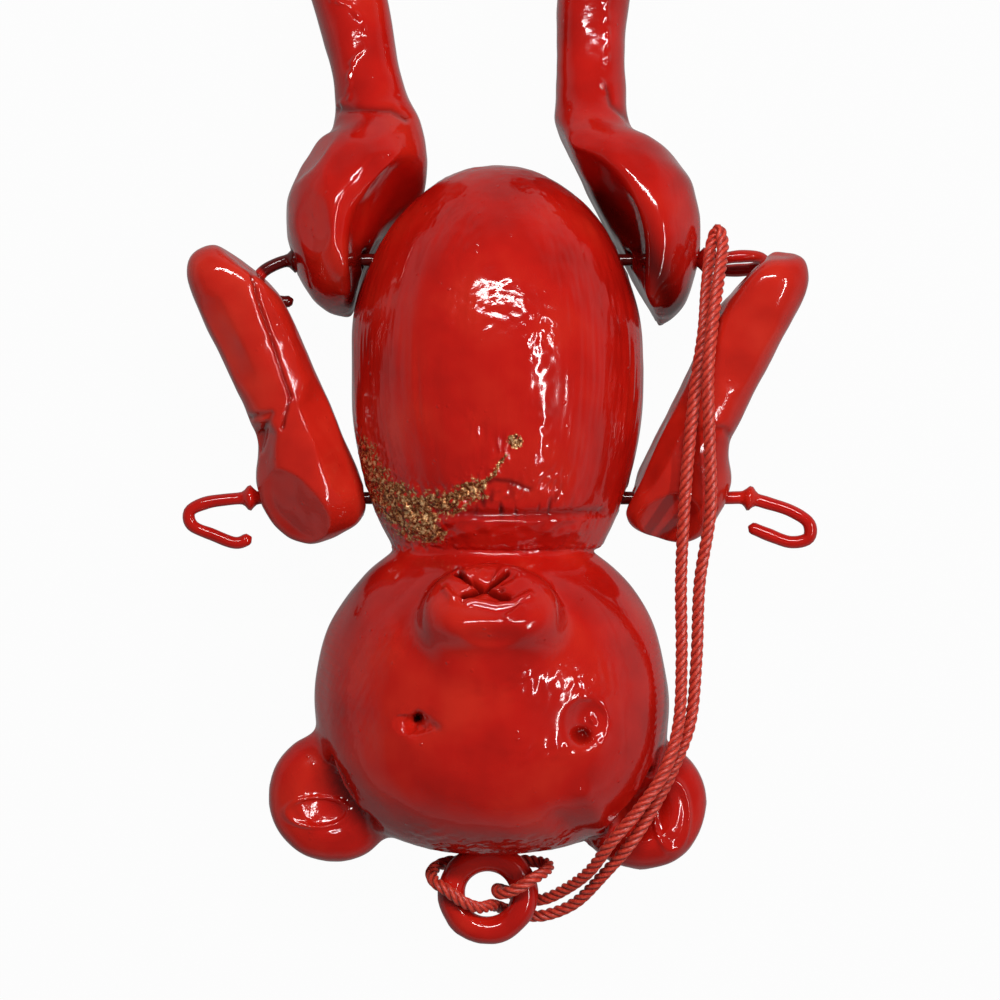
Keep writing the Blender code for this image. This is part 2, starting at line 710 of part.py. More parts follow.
# Hairpin loops, in mm from each wire's axle: outward from the body's middle, along Y, along Z
LEFT_SHOULDER_LOOP = [
    (30.0, 0.0, 0.0),
    (32.6, -0.2, 0.0),
    (35.0, -0.6, 0.1),
    (36.9, -1.6, 0.1),
    (36.6, -3.3, 0.0),
    (34.2, -4.4, -0.2),
    (31.4, -5.4, -0.4),
    (29.5, -4.7, -0.4),
]
RIGHT_SHOULDER_LOOP = [
    (30.0, 0.0, 0.0),
    (32.8, -0.7, 0.1),
    (35.4, -1.6, 0.2),
    (37.4, -3.0, 0.3),
    (37.4, -4.8, 0.1),
    (35.3, -5.3, -0.2),
    (32.6, -4.4, -0.3),
    (30.2, -3.4, -0.3),
]
LEFT_HIP_LOOP = [
    (24.0, 0.0, 0.0),
    (26.0, -0.3, 0.0),
    (28.2, -1.5, 0.0),
    (28.9, -3.2, -0.2),
    (27.4, -4.6, -0.4),
    (25.6, -5.0, -0.6),
    (24.5, -4.7, -0.7),
]
RIGHT_HIP_LOOP = [
    (26.0, 0.0, 0.0),
    (28.8, 0.4, 0.0),
    (31.2, 0.4, -0.4),
    (32.2, -0.2, -2.0),
    (31.2, -0.8, -3.6),
    (28.8, -1.0, -4.2),
    (26.4, -1.0, -4.0),
]


def make_wire(name, axle_y, left, right, mat):
    """One wire: a loop, the straight axle through the body, and the other loop."""
    y = axle_y / MM
    z = AXLE_Z / MM
    start = smooth_route([(-a, y + b, z + c) for a, b, c in reversed(left)], 3 * MM)
    end = smooth_route([(a, y + b, z + c) for a, b, c in right], 3 * MM)
    return rod(name, start + end, WIRE_RADIUS, mat)


# The cord's route in mm: behind the ring, over its band and through it, along the bear's side
# to the fold beside the hip, and back the same way
CORD_ROUTE = [
    (-1.3, -55.7, 14.2),
    (-3.6, -55.8, 14.1),
    (-6.2, -56.0, 14.4),
    (-7.8, -56.8, 16.4),
    (-7.5, -57.8, 18.7),
    (-6.2, -58.6, 20.0),
    (-4.0, -60.2, 19.6),
    (-2.1, -61.0, 18.4),
    (-0.7, -60.9, 16.6),
    (0.4, -61.4, 14.4),
    (2.6, -62.2, 13.6),
    (5.6, -62.4, 14.2),
    (9.4, -60.6, 16.6),
    (12.8, -56.8, 20.0),
    (15.9, -52.9, 22.4),
    (18.6, -48.6, 22.6),
    (20.9, -44.2, 21.8),
    (23.0, -38.6, 21.1),
    (23.7, -31.0, 21.6),
    (24.0, -22.0, 23.0),
    (25.2, -13.4, 24.6),
    (25.0, -5.0, 25.8),
    (24.8, 2.2, 26.5),
    (25.3, 8.0, 26.2),
    (26.2, 13.6, 23.7),
    (26.9, 18.0, 20.6),
    (26.4, 20.0, 19.6),
    (25.6, 18.2, 19.4),
    (24.9, 13.0, 21.6),
    (24.4, 8.0, 24.6),
    (23.6, 2.6, 24.9),
    (22.8, -4.4, 24.8),
    (22.1, -13.4, 24.4),
    (21.8, -22.0, 22.8),
    (21.9, -31.0, 22.3),
    (21.5, -38.8, 23.0),
    (19.7, -44.4, 24.4),
    (16.7, -48.8, 24.7),
    (13.6, -52.6, 23.8),
    (11.0, -56.4, 20.9),
    (8.2, -58.9, 17.3),
    (5.4, -60.4, 14.8),
    (2.8, -60.2, 13.6),
    (0.9, -59.4, 14.4),
    (0.0, -59.0, 16.6),
    (0.5, -59.3, 18.6),
    (2.3, -58.6, 19.9),
    (4.1, -57.5, 20.0),
    (5.8, -56.6, 18.4),
    (6.0, -56.0, 16.4),
    (4.0, -55.8, 14.5),
    (1.6, -55.8, 14.05),
    (-0.8, -55.7, 14.2),
]


def main():
    for obj in list(bpy.data.objects):
        bpy.data.objects.remove(obj)
    enamel = material("red_enamel", (0.52, 0.012, 0.010), 0.12, 0.1)
    wire_paint = material("wire_enamel", (0.42, 0.012, 0.010), 0.2, 0.1)
    steel = material("plain_steel", (0.55, 0.54, 0.52), 0.35, 1.0)
    satin = material("red_satin", (0.62, 0.03, 0.02), 0.5, 0.0)

    body = [make_torso(enamel), make_head(enamel), make_stud(steel)]
    ring = ring_solid("hanging_ring")
    finish(ring, enamel)
    body.append(ring)
    body.append(make_wire("shoulder_wire", SHOULDER_Y, LEFT_SHOULDER_LOOP, RIGHT_SHOULDER_LOOP, wire_paint))
    body.append(make_wire("hip_wire", HIP_Y, LEFT_HIP_LOOP, RIGHT_HIP_LOOP, wire_paint))
    shoulders = [
        make_arm("left_arm", -1, LEFT_ARM_SPLAY, LEFT_ARM_GAP, enamel),
        make_arm("right_arm", 1, RIGHT_ARM_SPLAY, RIGHT_ARM_GAP, enamel),
    ]
    hips = [
        make_leg("left_leg", -1, LEFT_LEG_SPLAY, LEFT_LEG_TAIL, enamel),
        make_leg("right_leg", 1, RIGHT_LEG_SPLAY, RIGHT_LEG_TAIL, enamel),
    ]
    stand_on_floor(body, shoulders, hips, satin)


def stand_on_floor(body, shoulders, hips, satin):
    """Centre the bear over the origin, with every moving piece's origin on its axle."""
    bpy.context.view_layer.update()
    corners = []
    for obj in body + shoulders + hips:
        corners += [obj.matrix_world @ Vector(c) for c in obj.bound_box]
    low = Vector([min(c[k] for c in corners) for k in range(3)])
    high = Vector([max(c[k] for c in corners) for k in range(3)])
    shift = Vector((-0.5 * (low.x + high.x), -0.5 * (low.y + high.y), -low.z))
    cord = rod("hanging_cord", smooth_route(CORD_ROUTE, CORD_STEP, 28.0), CORD_RADIUS, satin)
    for obj in body + [cord]:
        obj.location = shift
    for limbs, axle_y, label in ((shoulders, SHOULDER_Y, "shoulder"), (hips, HIP_Y, "hip")):
        axle = Vector((0, axle_y, AXLE_Z))
        for limb in limbs:
            limb.data.transform(Matrix.Translation(-axle))
            limb.location = axle + shift
        print(f"{label} axle at {[round(v, 5) for v in axle + shift]} m")
    bpy.context.view_layer.update()
    print("box", [round(v / MM, 2) for v in low + shift], [round(v / MM, 2) for v in high + shift])


main()
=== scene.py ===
"""A jointed bear ornament: cast pieces under thick red enamel, its wires and its hanging cord."""

import math

import bmesh
import bpy
import numpy as np
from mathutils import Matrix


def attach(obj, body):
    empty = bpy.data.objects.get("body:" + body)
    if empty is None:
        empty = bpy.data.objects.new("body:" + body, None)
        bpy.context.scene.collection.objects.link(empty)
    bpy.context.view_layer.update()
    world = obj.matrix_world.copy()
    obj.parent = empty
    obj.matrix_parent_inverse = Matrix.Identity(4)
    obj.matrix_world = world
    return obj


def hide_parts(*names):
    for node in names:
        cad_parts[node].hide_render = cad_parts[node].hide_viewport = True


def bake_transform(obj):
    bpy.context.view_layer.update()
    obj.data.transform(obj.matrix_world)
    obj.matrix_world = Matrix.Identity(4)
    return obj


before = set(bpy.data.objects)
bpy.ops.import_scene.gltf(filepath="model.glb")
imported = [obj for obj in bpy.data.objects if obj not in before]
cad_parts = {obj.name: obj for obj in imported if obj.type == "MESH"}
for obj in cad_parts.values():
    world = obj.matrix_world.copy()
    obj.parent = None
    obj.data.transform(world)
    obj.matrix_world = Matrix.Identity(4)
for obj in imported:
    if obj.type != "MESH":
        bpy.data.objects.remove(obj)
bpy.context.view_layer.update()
MM = 0.001

# The camera looks straight down on the bear, which lies on its back. The picture is 120 mm
# wide at the bear's middle height, and seen_at gives a point's place in it, of 1000 by 1000.
PICTURE_SIDE = 1000.0
PICTURE_SPAN = 120 * MM
MIDDLE_HEIGHT = 17 * MM
CAMERA_DISTANCE = 450 * MM
CAMERA_X = 0.04 * MM
CAMERA_Y = -12.97 * MM
SENSOR_MM = 36.0

lens = bpy.data.cameras.new("camera")
lens.sensor_width = SENSOR_MM
lens.lens = SENSOR_MM * CAMERA_DISTANCE / PICTURE_SPAN
lens.clip_start = 0.01
camera = bpy.data.objects.new("camera", lens)
camera.location = (CAMERA_X, CAMERA_Y, CAMERA_DISTANCE + MIDDLE_HEIGHT)
bpy.context.scene.collection.objects.link(camera)
bpy.context.scene.camera = camera


def seen_at(places):
    """Across and down the picture, where each place in metres is seen."""
    away = CAMERA_DISTANCE + MIDDLE_HEIGHT - places[:, 2]
    per_metre = PICTURE_SIDE / PICTURE_SPAN * CAMERA_DISTANCE / away
    across = PICTURE_SIDE / 2 + (places[:, 0] - CAMERA_X) * per_metre
    down = PICTURE_SIDE / 2 - (places[:, 1] - CAMERA_Y) * per_metre
    return across, down


# The hanging cord is 1.5 mm rayon twist of four plies. It is hitched through the ring, and
# both strands lie over the right ear and arm, up to their fold beside the hip loop.
PLY_PITCH = 4.4 * MM
PLY_OFFSET = 0.40 * MM
PLY_RADIUS = 0.35 * MM
PLIES = 4
CORD_SIDES = 32
CORD_STEP = 0.2 * MM
# The cord's route and the wires' bends are in mm from a spot under the torso. The frame centres
# the whole bear, which moved that spot by this.
MODEL_SHIFT = (-0.32 * MM, -0.73 * MM, 0.0)
CORD_ROUTE = [
    (-1.3, -55.7, 14.2), (-3.6, -55.8, 14.1), (-6.2, -56.0, 14.4), (-7.8, -56.8, 16.4),
    (-7.5, -57.8, 18.7), (-6.2, -58.6, 20.0), (-4.0, -60.2, 19.6), (-2.1, -61.0, 18.4),
    (-0.7, -60.9, 16.6), (0.4, -61.4, 14.4), (2.6, -62.2, 13.6), (5.6, -62.4, 14.2),
    (9.4, -60.6, 16.6), (12.8, -56.8, 20.0), (15.9, -52.9, 22.4), (18.6, -48.6, 22.6),
    (20.9, -44.2, 21.8), (23.0, -38.6, 21.1), (23.7, -31.0, 21.6), (24.0, -22.0, 23.0),
    (25.2, -13.4, 24.6), (25.0, -5.0, 25.8), (24.8, 2.2, 26.5), (25.3, 8.0, 26.2),
    (26.2, 13.6, 23.7), (26.9, 18.0, 20.6), (26.4, 20.0, 19.6), (25.6, 18.2, 19.4),
    (24.9, 13.0, 21.6), (24.4, 8.0, 24.6), (23.6, 2.6, 24.9), (22.8, -4.4, 24.8),
    (22.1, -13.4, 24.4), (21.8, -22.0, 22.8), (21.9, -31.0, 22.3), (21.5, -38.8, 23.0),
    (19.7, -44.4, 24.4), (16.7, -48.8, 24.7), (13.6, -52.6, 23.8), (11.0, -56.4, 20.9),
    (8.2, -58.9, 17.3), (5.4, -60.4, 14.8), (2.8, -60.2, 13.6), (0.9, -59.4, 14.4),
    (0.0, -59.0, 16.6), (0.5, -59.3, 18.6), (2.3, -58.6, 19.9), (4.1, -57.5, 20.0),
    (5.8, -56.6, 18.4), (6.0, -56.0, 16.4), (4.0, -55.8, 14.5), (1.6, -55.8, 14.05),
    (-0.8, -55.7, 14.2),
]


def even_line(knots, step):
    """Points at even steps along a smooth curve through the knots, with how far along each is."""
    ends = [2 * knots[0] - knots[1], *knots, 2 * knots[-1] - knots[-2]]
    parts_per_knot = 40
    fine = []
    for a, b, c, d in zip(ends, ends[1:], ends[2:], ends[3:]):
        for t in np.arange(0, 1, 1 / parts_per_knot):
            bend = 2 * b + (c - a) * t + (2 * a - 5 * b + 4 * c - d) * t * t
            fine.append(0.5 * (bend + (3 * b - a - 3 * c + d) * t**3))
    fine = np.array([*fine, knots[-1]])
    along = np.r_[0, np.cumsum(np.linalg.norm(np.diff(fine, axis=0), axis=1))]
    marks = np.linspace(0, along[-1], int(along[-1] / step) + 1)
    return np.stack([np.interp(marks, along, fine[:, k]) for k in range(3)], 1), marks


def tube(name, line, section):
    """A tube along a line, closed at its ends. section gives each ring's points by its place."""
    heading = np.gradient(line, axis=0)
    heading /= np.linalg.norm(heading, axis=1)[:, None]
    off_line = (0.3, 0.1, 1.0)
    across = np.cross(heading[0], off_line)
    rings = []
    for place, (middle, ahead) in enumerate(zip(line, heading)):
        across = across - ahead * (across @ ahead)
        across = across / np.linalg.norm(across)
        outline = section(place)
        up = np.cross(ahead, across)
        rings.append(middle + np.outer(outline[:, 0], across) + np.outer(outline[:, 1], up))
    sides = len(rings[0])
    last = (len(rings) - 1) * sides
    faces = []
    for low in range(0, last, sides):
        for side in range(sides):
            after = (side + 1) % sides
            faces.append((low + side, low + after, low + sides + after, low + sides + side))
    faces.append(tuple(range(sides - 1, -1, -1)))
    faces.append(tuple(range(last, last + sides)))
    mesh = bpy.data.meshes.new(name)
    mesh.from_pydata(np.concatenate(rings).tolist(), [], faces)
    mesh.shade_smooth()
    piece = bpy.data.objects.new(name, mesh)
    bpy.context.scene.collection.objects.link(piece)
    return piece


def srgb(value):
    """Linear colour of an sRGB hex value."""
    parts = [int(value[k:k + 2], 16) / 255 for k in (1, 3, 5)]
    return (*[p / 12.92 if p <= 0.04045 else ((p + 0.055) / 1.055) ** 2.4 for p in parts], 1.0)


def add_node(tree, kind, inputs=None, **settings):
    """A shader node with its settings, and its inputs set to values or linked to other nodes."""
    node = tree.nodes.new(kind)
    for name, value in settings.items():
        setattr(node, name, value)
    for name, value in (inputs or {}).items():
        if isinstance(value, bpy.types.NodeSocket):
            tree.links.new(value, node.inputs[name])
        else:
            node.inputs[name].default_value = value
    return node


def new_material(name):
    """A material with an empty node tree."""
    material = bpy.data.materials.new(name)
    material.use_nodes = True
    material.node_tree.nodes.clear()
    return material, material.node_tree


def ramp(tree, factor, stops):
    """A colour ramp of (place, hex colour) stops."""
    node = add_node(tree, "ShaderNodeValToRGB", {"Fac": factor})
    stops = list(stops)
    while len(node.color_ramp.elements) < len(stops):
        node.color_ramp.elements.new(0.5)
    for element, (place, colour) in zip(node.color_ramp.elements, stops):
        element.position = place
        element.color = srgb(colour)
    return node


def set_share(piece, name, values):
    """Keeps a number from 0 to 1 for each point, for the material to read."""
    layer = piece.data.attributes.new(name, "FLOAT", "POINT")
    layer.data.foreach_set("value", np.clip(values, 0, 1).astype(np.float32))


# A rayon filament is about 0.02 mm thick, too fine to show, so it is drawn much coarser.
FILAMENT_WIDTH = 0.35 * MM
FILAMENT_RELIEF = 0.05 * MM
RAYON_SHADE = "#C82A1C"
RAYON_LIGHT = "#F05640"
# The dark red painted into the grooves between the plies as shade.
RAYON_GROOVE_SHADE = "#7A0E0A"
RAYON_SHEEN = "#FFB0A0"


def rayon_twist():
    """Dyed rayon, twisted: a soft shine along each ply, and painted shade in the grooves between the plies.
    """
    material, tree = new_material("rayon_twist")
    place = add_node(tree, "ShaderNodeTexCoord")
    filament = add_node(
        tree, "ShaderNodeTexNoise",
        {"Vector": place.outputs["Object"], "Scale": 1 / FILAMENT_WIDTH, "Detail": 3.0},
    )
    colour = ramp(tree, filament.outputs["Fac"], [(0.3, RAYON_SHADE), (0.7, RAYON_LIGHT)])
    groove = add_node(tree, "ShaderNodeAttribute", attribute_name="groove")
    colour = add_node(
        tree, "ShaderNodeMixRGB",
        {"Fac": groove.outputs["Fac"], "Color1": colour.outputs["Color"], "Color2": srgb(RAYON_GROOVE_SHADE)},
    )
    bump = add_node(
        tree, "ShaderNodeBump",
        {"Height": filament.outputs["Fac"], "Distance": FILAMENT_RELIEF, "Strength": 0.7},
    )
    shader = add_node(
        tree, "ShaderNodeBsdfPrincipled",
        {"Base Color": colour.outputs["Color"], "Normal": bump.outputs["Normal"], "Roughness": 0.36,
         "Sheen Weight": 0.35, "Sheen Roughness": 0.4, "Sheen Tint": srgb(RAYON_SHEEN)},
    )
    add_node(tree, "ShaderNodeOutputMaterial", {"Surface": shader.outputs["BSDF"]})
    return material


cord_knots = [np.array(knot) * MM + MODEL_SHIFT for knot in CORD_ROUTE]
cord_line, cord_marks = even_line(cord_knots, CORD_STEP)
cord_around = np.arange(CORD_SIDES) / CORD_SIDES * math.tau
off_crest = (cord_around + math.pi / PLIES) % (math.tau / PLIES) - math.pi / PLIES
cord_reach = np.sqrt(PLY_RADIUS**2 - (PLY_OFFSET * np.sin(off_crest)) ** 2)
cord_reach = cord_reach + PLY_OFFSET * np.cos(off_crest)


def ply_section(place):
    """Four round plies laid together, turned on by the lay."""
    turned = cord_around + math.tau * cord_marks[place] / PLY_PITCH
    return np.stack([cord_reach * np.cos(turned), cord_reach * np.sin(turned)], 1)


# How much painted shade darkens the grooves between the plies.
GROOVE_SHADE = 0.85
hanging_cord = tube("cord", cord_line, ply_section)
groove = (cord_reach.max() - cord_reach) / np.ptp(cord_reach)
set_share(hanging_cord, "groove", np.tile(GROOVE_SHADE * groove, len(cord_line)))
hanging_cord.data.materials.append(rayon_twist())
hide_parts("hanging_cord")
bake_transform(hanging_cord)

# The torso is one egg-shaped casting under a thick coat of poured red enamel, streaked along
# its length. High on its left side, by the neck, the coat is gone and the rough gilt casting
# shows through.


def fine_casting(nodes, name, grain, edge_rounds=6, fair_rounds=160, sharp=(9, 20)):
    """Solids as one even skin of that grain: their sharp edges rounded a little, as a thick coat
    leaves them, and their facets faired away. sharp holds two turns in degrees: an edge that
    turns less than the first is faired, and one past the second is kept."""
    places, faces = [], []
    for node in nodes:
        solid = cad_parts[node].data
        faces += [[len(places) + corner for corner in face.vertices] for face in solid.polygons]
        places += [corner.co[:] for corner in solid.vertices]
    skin = bpy.data.meshes.new(name)
    skin.from_pydata(places, [], faces)
    piece = bpy.data.objects.new(name, skin)
    bpy.context.scene.collection.objects.link(piece)
    remesh = piece.modifiers.new("even_skin", "REMESH")
    remesh.mode = "VOXEL"
    remesh.voxel_size = grain
    skin = bpy.data.meshes.new_from_object(piece.evaluated_get(bpy.context.evaluated_depsgraph_get()))
    piece.modifiers.clear()
    piece.data = skin
    skin.name = name
    skin.materials.clear()
    skin.shade_smooth()
    relax(piece, edge_rounds, 1.0)
    near = neighbours(piece)
    places, facing = skin_of(piece)
    turn = np.zeros(len(places))
    along = np.einsum("ij,ij->i", facing[near[:, 0]], facing[near[:, 1]])
    np.maximum.at(turn, near.ravel(), np.degrees(np.arccos(np.clip(np.repeat(along, 2), -1, 1))))
    rings_kept = 3
    for _ in range(rings_kept):
        wide = turn.copy()
        np.maximum.at(wide, near[:, 0], turn[near[:, 1]])
        np.maximum.at(wide, near[:, 1], turn[near[:, 0]])
        turn = wide
    relax(piece, fair_rounds, 1 - step_up(turn, *sharp))
    return piece


def refine(piece, chosen):
    """Halves the spacing of the chosen points, so that finer marks can be made there."""
    chosen = set(np.flatnonzero(chosen).tolist())
    skin = bmesh.new()
    skin.from_mesh(piece.data)
    edges = [edge for edge in skin.edges if all(end.index in chosen for end in edge.verts)]
    bmesh.ops.subdivide_edges(skin, edges=edges, cuts=1, use_grid_fill=True)
    skin.to_mesh(piece.data)
    skin.free()
    piece.data.shade_smooth()


def neighbours(piece):
    """The pairs of points that an edge joins."""
    pairs = np.empty(len(piece.data.edges) * 2, np.int32)
    piece.data.edges.foreach_get("vertices", pairs)
    return pairs.reshape(-1, 2)


def relax(piece, rounds, share, give_back=True):
    """Smooths a skin, each point by its share, and gives back what that shrank it by."""
    near = neighbours(piece)
    places, _ = skin_of(piece)
    count = len(places)
    each = np.bincount(near.ravel(), minlength=count)
    share = 0.5 * np.broadcast_to(np.asarray(share, float), (count,))[:, None]
    for turn in range(rounds + 1 if give_back else rounds):
        middle = np.stack([
            np.bincount(near[:, 0], places[near[:, 1], k], count)
            + np.bincount(near[:, 1], places[near[:, 0], k], count)
            for k in range(3)
        ], 1) / each[:, None]
        pull = 1 if turn < rounds else -rounds
        places = places + (middle - places) * share * pull
    piece.data.vertices.foreach_set("co", places.ravel())
    piece.data.update()


def skin_of(piece):
    """The places and normals of a piece's points."""
    count = len(piece.data.vertices)
    places = np.empty(count * 3)
    facing = np.empty(count * 3)
    piece.data.vertices.foreach_get("co", places)
    piece.data.vertex_normals.foreach_get("vector", facing)
    return places.reshape(-1, 3), facing.reshape(-1, 3)


def shown(piece):
    """The places and normals of a piece's points, and where the picture shows them."""
    places, facing = skin_of(piece)
    return places, facing, seen_at(places)


def raise_by(piece, height):
    """Moves each point along its normal by its height."""
    places, facing = skin_of(piece)
    piece.data.vertices.foreach_set("co", (places + facing * height[:, None]).ravel())
    piece.data.update()


def push(piece, share, way):
    """Moves each point by its share of a way in mm."""
    places, _ = skin_of(piece)
    piece.data.vertices.foreach_set("co", (places + np.outer(share, way) * MM).ravel())
    piece.data.update()


def cut_flat(piece, spot, depth, reach, way=None):
    """Presses a flat into the piece at a spot of the picture, square to its surface there or to
    a given way. It is depth mm deep and fades out reach mm away."""
    places, facing, (across, down) = shown(piece)
    hidden = facing[:, 2] < 0.1
    away = np.hypot(across - spot[0], down - spot[1]) + PICTURE_SIDE * hidden
    spot_radius = 6
    share = np.exp(-(((away - away.min()) / spot_radius) ** 2))
    way = (facing * share[:, None]).sum(0) if way is None else np.array(way)
    way = way / np.linalg.norm(way)
    middle = places[away.argmin()]
    level = middle @ way - depth * MM
    softness = 0.06 * MM
    beyond = np.logaddexp(0, (places @ way - level) / softness) * softness
    from_middle = np.linalg.norm(places - middle, axis=1) / MM
    beyond = beyond * (1 - step_up(from_middle, 0.6 * reach, reach)) * (facing @ way > 0)
    piece.data.vertices.foreach_set("co", (places - np.outer(beyond, way)).ravel())
    piece.data.update()


def ripple(places, length, seed, stretch=(1, 1, 1)):
    """Smooth uneven waves of about that length, about 1 high, stretched along some axes."""
    draw = np.random.default_rng(seed)
    total = np.zeros(len(places))
    waves = 16
    for _ in range(waves):
        heading = draw.normal(size=3)
        heading *= draw.uniform(0.6, 1.4) / (length * np.linalg.norm(heading))
        total += np.sin(places / np.array(stretch) @ heading * math.tau + draw.uniform(0, math.tau))
    return total / math.sqrt(waves / 2)


def near_line(seen, line, width):
    """1 on a line drawn in the picture, falling to 0 about two widths away from it."""
    across, down = seen
    away = np.full(len(across), np.inf)
    for (ax, ay), (bx, by) in zip(line, line[1:]):
        reach = (bx - ax) ** 2 + (by - ay) ** 2
        run = np.clip(((across - ax) * (bx - ax) + (down - ay) * (by - ay)) / reach, 0, 1)
        off = np.hypot(across - ax - run * (bx - ax), down - ay - run * (by - ay))
        away = np.minimum(away, off)
    return np.exp(-((away / width) ** 2))


def near_spot(seen, spot, wide, tall, lean=0.0):
    """1 at a spot in the picture, falling to 0 about two radii away from it."""
    turn = math.radians(lean)
    x, y = seen[0] - spot[0], seen[1] - spot[1]
    along = (x * math.cos(turn) + y * math.sin(turn)) / wide
    over = (y * math.cos(turn) - x * math.sin(turn)) / tall
    return np.exp(-(along**2) - over**2)


def strokes(seen, marks):
    """A number of lines in the picture, each with its width and strength, added together."""
    return sum(strength * near_line(seen, line, width) for line, width, strength in marks)


def oval(seen, middle, wide, tall):
    """How far out in an oval of the picture each point is: 0 in its middle, 1 at its edge."""
    return np.hypot((seen[0] - middle[0]) / wide, (seen[1] - middle[1]) / tall)


def step_up(value, low, high):
    """0 below low, 1 above high, and smooth between them."""
    t = np.clip((value - low) / (high - low), 0, 1)
    return t * t * (3 - 2 * t)


ENAMEL_RED = "#C4180F"
ENAMEL_DEEP = "#AC130C"
ENAMEL_THIN = "#D02818"
# The dark red painted into hollows, creases and shaded stretches as shade.
ENAMEL_PAINTED_SHADE = "#3A0504"
GILT_BRIGHT = "#F4C48C"
GILT_MIDDLE = "#B2703C"
GILT_DULL = "#6A2E16"
ENAMEL_TONES = (ENAMEL_DEEP, ENAMEL_RED, ENAMEL_THIN)
# How large the coat's clouds of colour are, its orange peel and the areas that have it, its
# dust nibs and the areas where they gathered, and the pits of the bare casting.
POOL_LENGTH = 9 * MM
PEEL_LENGTH = 0.6 * MM
PEEL_DEPTH = 0.05 * MM
PEELED_LENGTH = 7 * MM
NIB_SPACING = 1.5 * MM
NIB_HEIGHT = 0.06 * MM
DUSTY_LENGTH = 5 * MM
PIT_LENGTH = 0.4 * MM
PIT_DEPTH = 0.25 * MM


def poured_enamel(name, nibs=1.0, bare=False, tones=ENAMEL_TONES):
    """Thick poured enamel: wet gloss, a faint orange peel, dust nibs, and painted shade in hollows."""
    material, tree = new_material(name)
    place = add_node(tree, "ShaderNodeTexCoord").outputs["Object"]
    pool = add_node(
        tree, "ShaderNodeTexNoise", {"Vector": place, "Scale": 1 / POOL_LENGTH, "Detail": 3.0},
    )
    colour = ramp(tree, pool.outputs["Fac"], zip((0.30, 0.52, 0.75), tones)).outputs["Color"]
    # The share read here darkens the coat in hollows, creases and shaded stretches: painted shade.
    painted_shade = add_node(tree, "ShaderNodeAttribute", attribute_name="painted_shade")
    colour = add_node(
        tree, "ShaderNodeMixRGB",
        {"Fac": painted_shade.outputs["Fac"], "Color1": colour, "Color2": srgb(ENAMEL_PAINTED_SHADE)},
    ).outputs["Color"]
    peel = add_node(
        tree, "ShaderNodeTexNoise", {"Vector": place, "Scale": 1 / PEEL_LENGTH, "Detail": 3.0},
    )
    peeled = add_node(
        tree, "ShaderNodeTexNoise", {"Vector": place, "Scale": 1 / PEELED_LENGTH, "Detail": 2.0},
    )
    peeled = add_node(
        tree, "ShaderNodeMapRange",
        {"Value": peeled.outputs["Fac"], "From Min": 0.42, "From Max": 0.60,
         "To Min": 0.25, "To Max": 1.0},
    )
    peel_height = add_node(
        tree, "ShaderNodeMath", {0: peel.outputs["Fac"], 1: peeled.outputs["Result"]},
        operation="MULTIPLY",
    )
    peel_bump = add_node(
        tree, "ShaderNodeBump",
        {"Height": peel_height.outputs["Value"], "Distance": PEEL_DEPTH, "Strength": 0.6},
    )
    dust = add_node(tree, "ShaderNodeTexVoronoi", {"Vector": place, "Scale": 1 / NIB_SPACING})
    nib = add_node(
        tree, "ShaderNodeMapRange",
        {"Value": dust.outputs["Distance"], "From Min": 0.17, "From Max": 0.05},
    )
    dusty = add_node(
        tree, "ShaderNodeTexNoise", {"Vector": place, "Scale": 1 / DUSTY_LENGTH, "Detail": 2.0},
    )
    dustiest = add_node(
        tree, "ShaderNodeMapRange",
        {"Value": dusty.outputs["Fac"], "From Min": 0.5, "From Max": 0.62},
    )
    nib_height = add_node(
        tree, "ShaderNodeMath", {0: nib.outputs["Result"], 1: dustiest.outputs["Result"]},
        operation="MULTIPLY",
    )
    nib_bump = add_node(
        tree, "ShaderNodeBump",
        {"Height": nib_height.outputs["Value"], "Normal": peel_bump.outputs["Normal"],
         "Distance": NIB_HEIGHT, "Strength": nibs},
    )
    gloss = add_node(
        tree, "ShaderNodeMapRange",
        {"Value": dusty.outputs["Fac"], "From Min": 0.3, "From Max": 0.7,
         "To Min": 0.05, "To Max": 0.13},
    )
    shader = add_node(
        tree, "ShaderNodeBsdfPrincipled",
        {"Base Color": colour, "Roughness": gloss.outputs["Result"],
         "Normal": nib_bump.outputs["Normal"]},
    )
    surface = shader.outputs["BSDF"]
    if bare:
        surface = over_gilt(tree, place, shader)
    add_node(tree, "ShaderNodeOutputMaterial", {"Surface": surface})
    return material


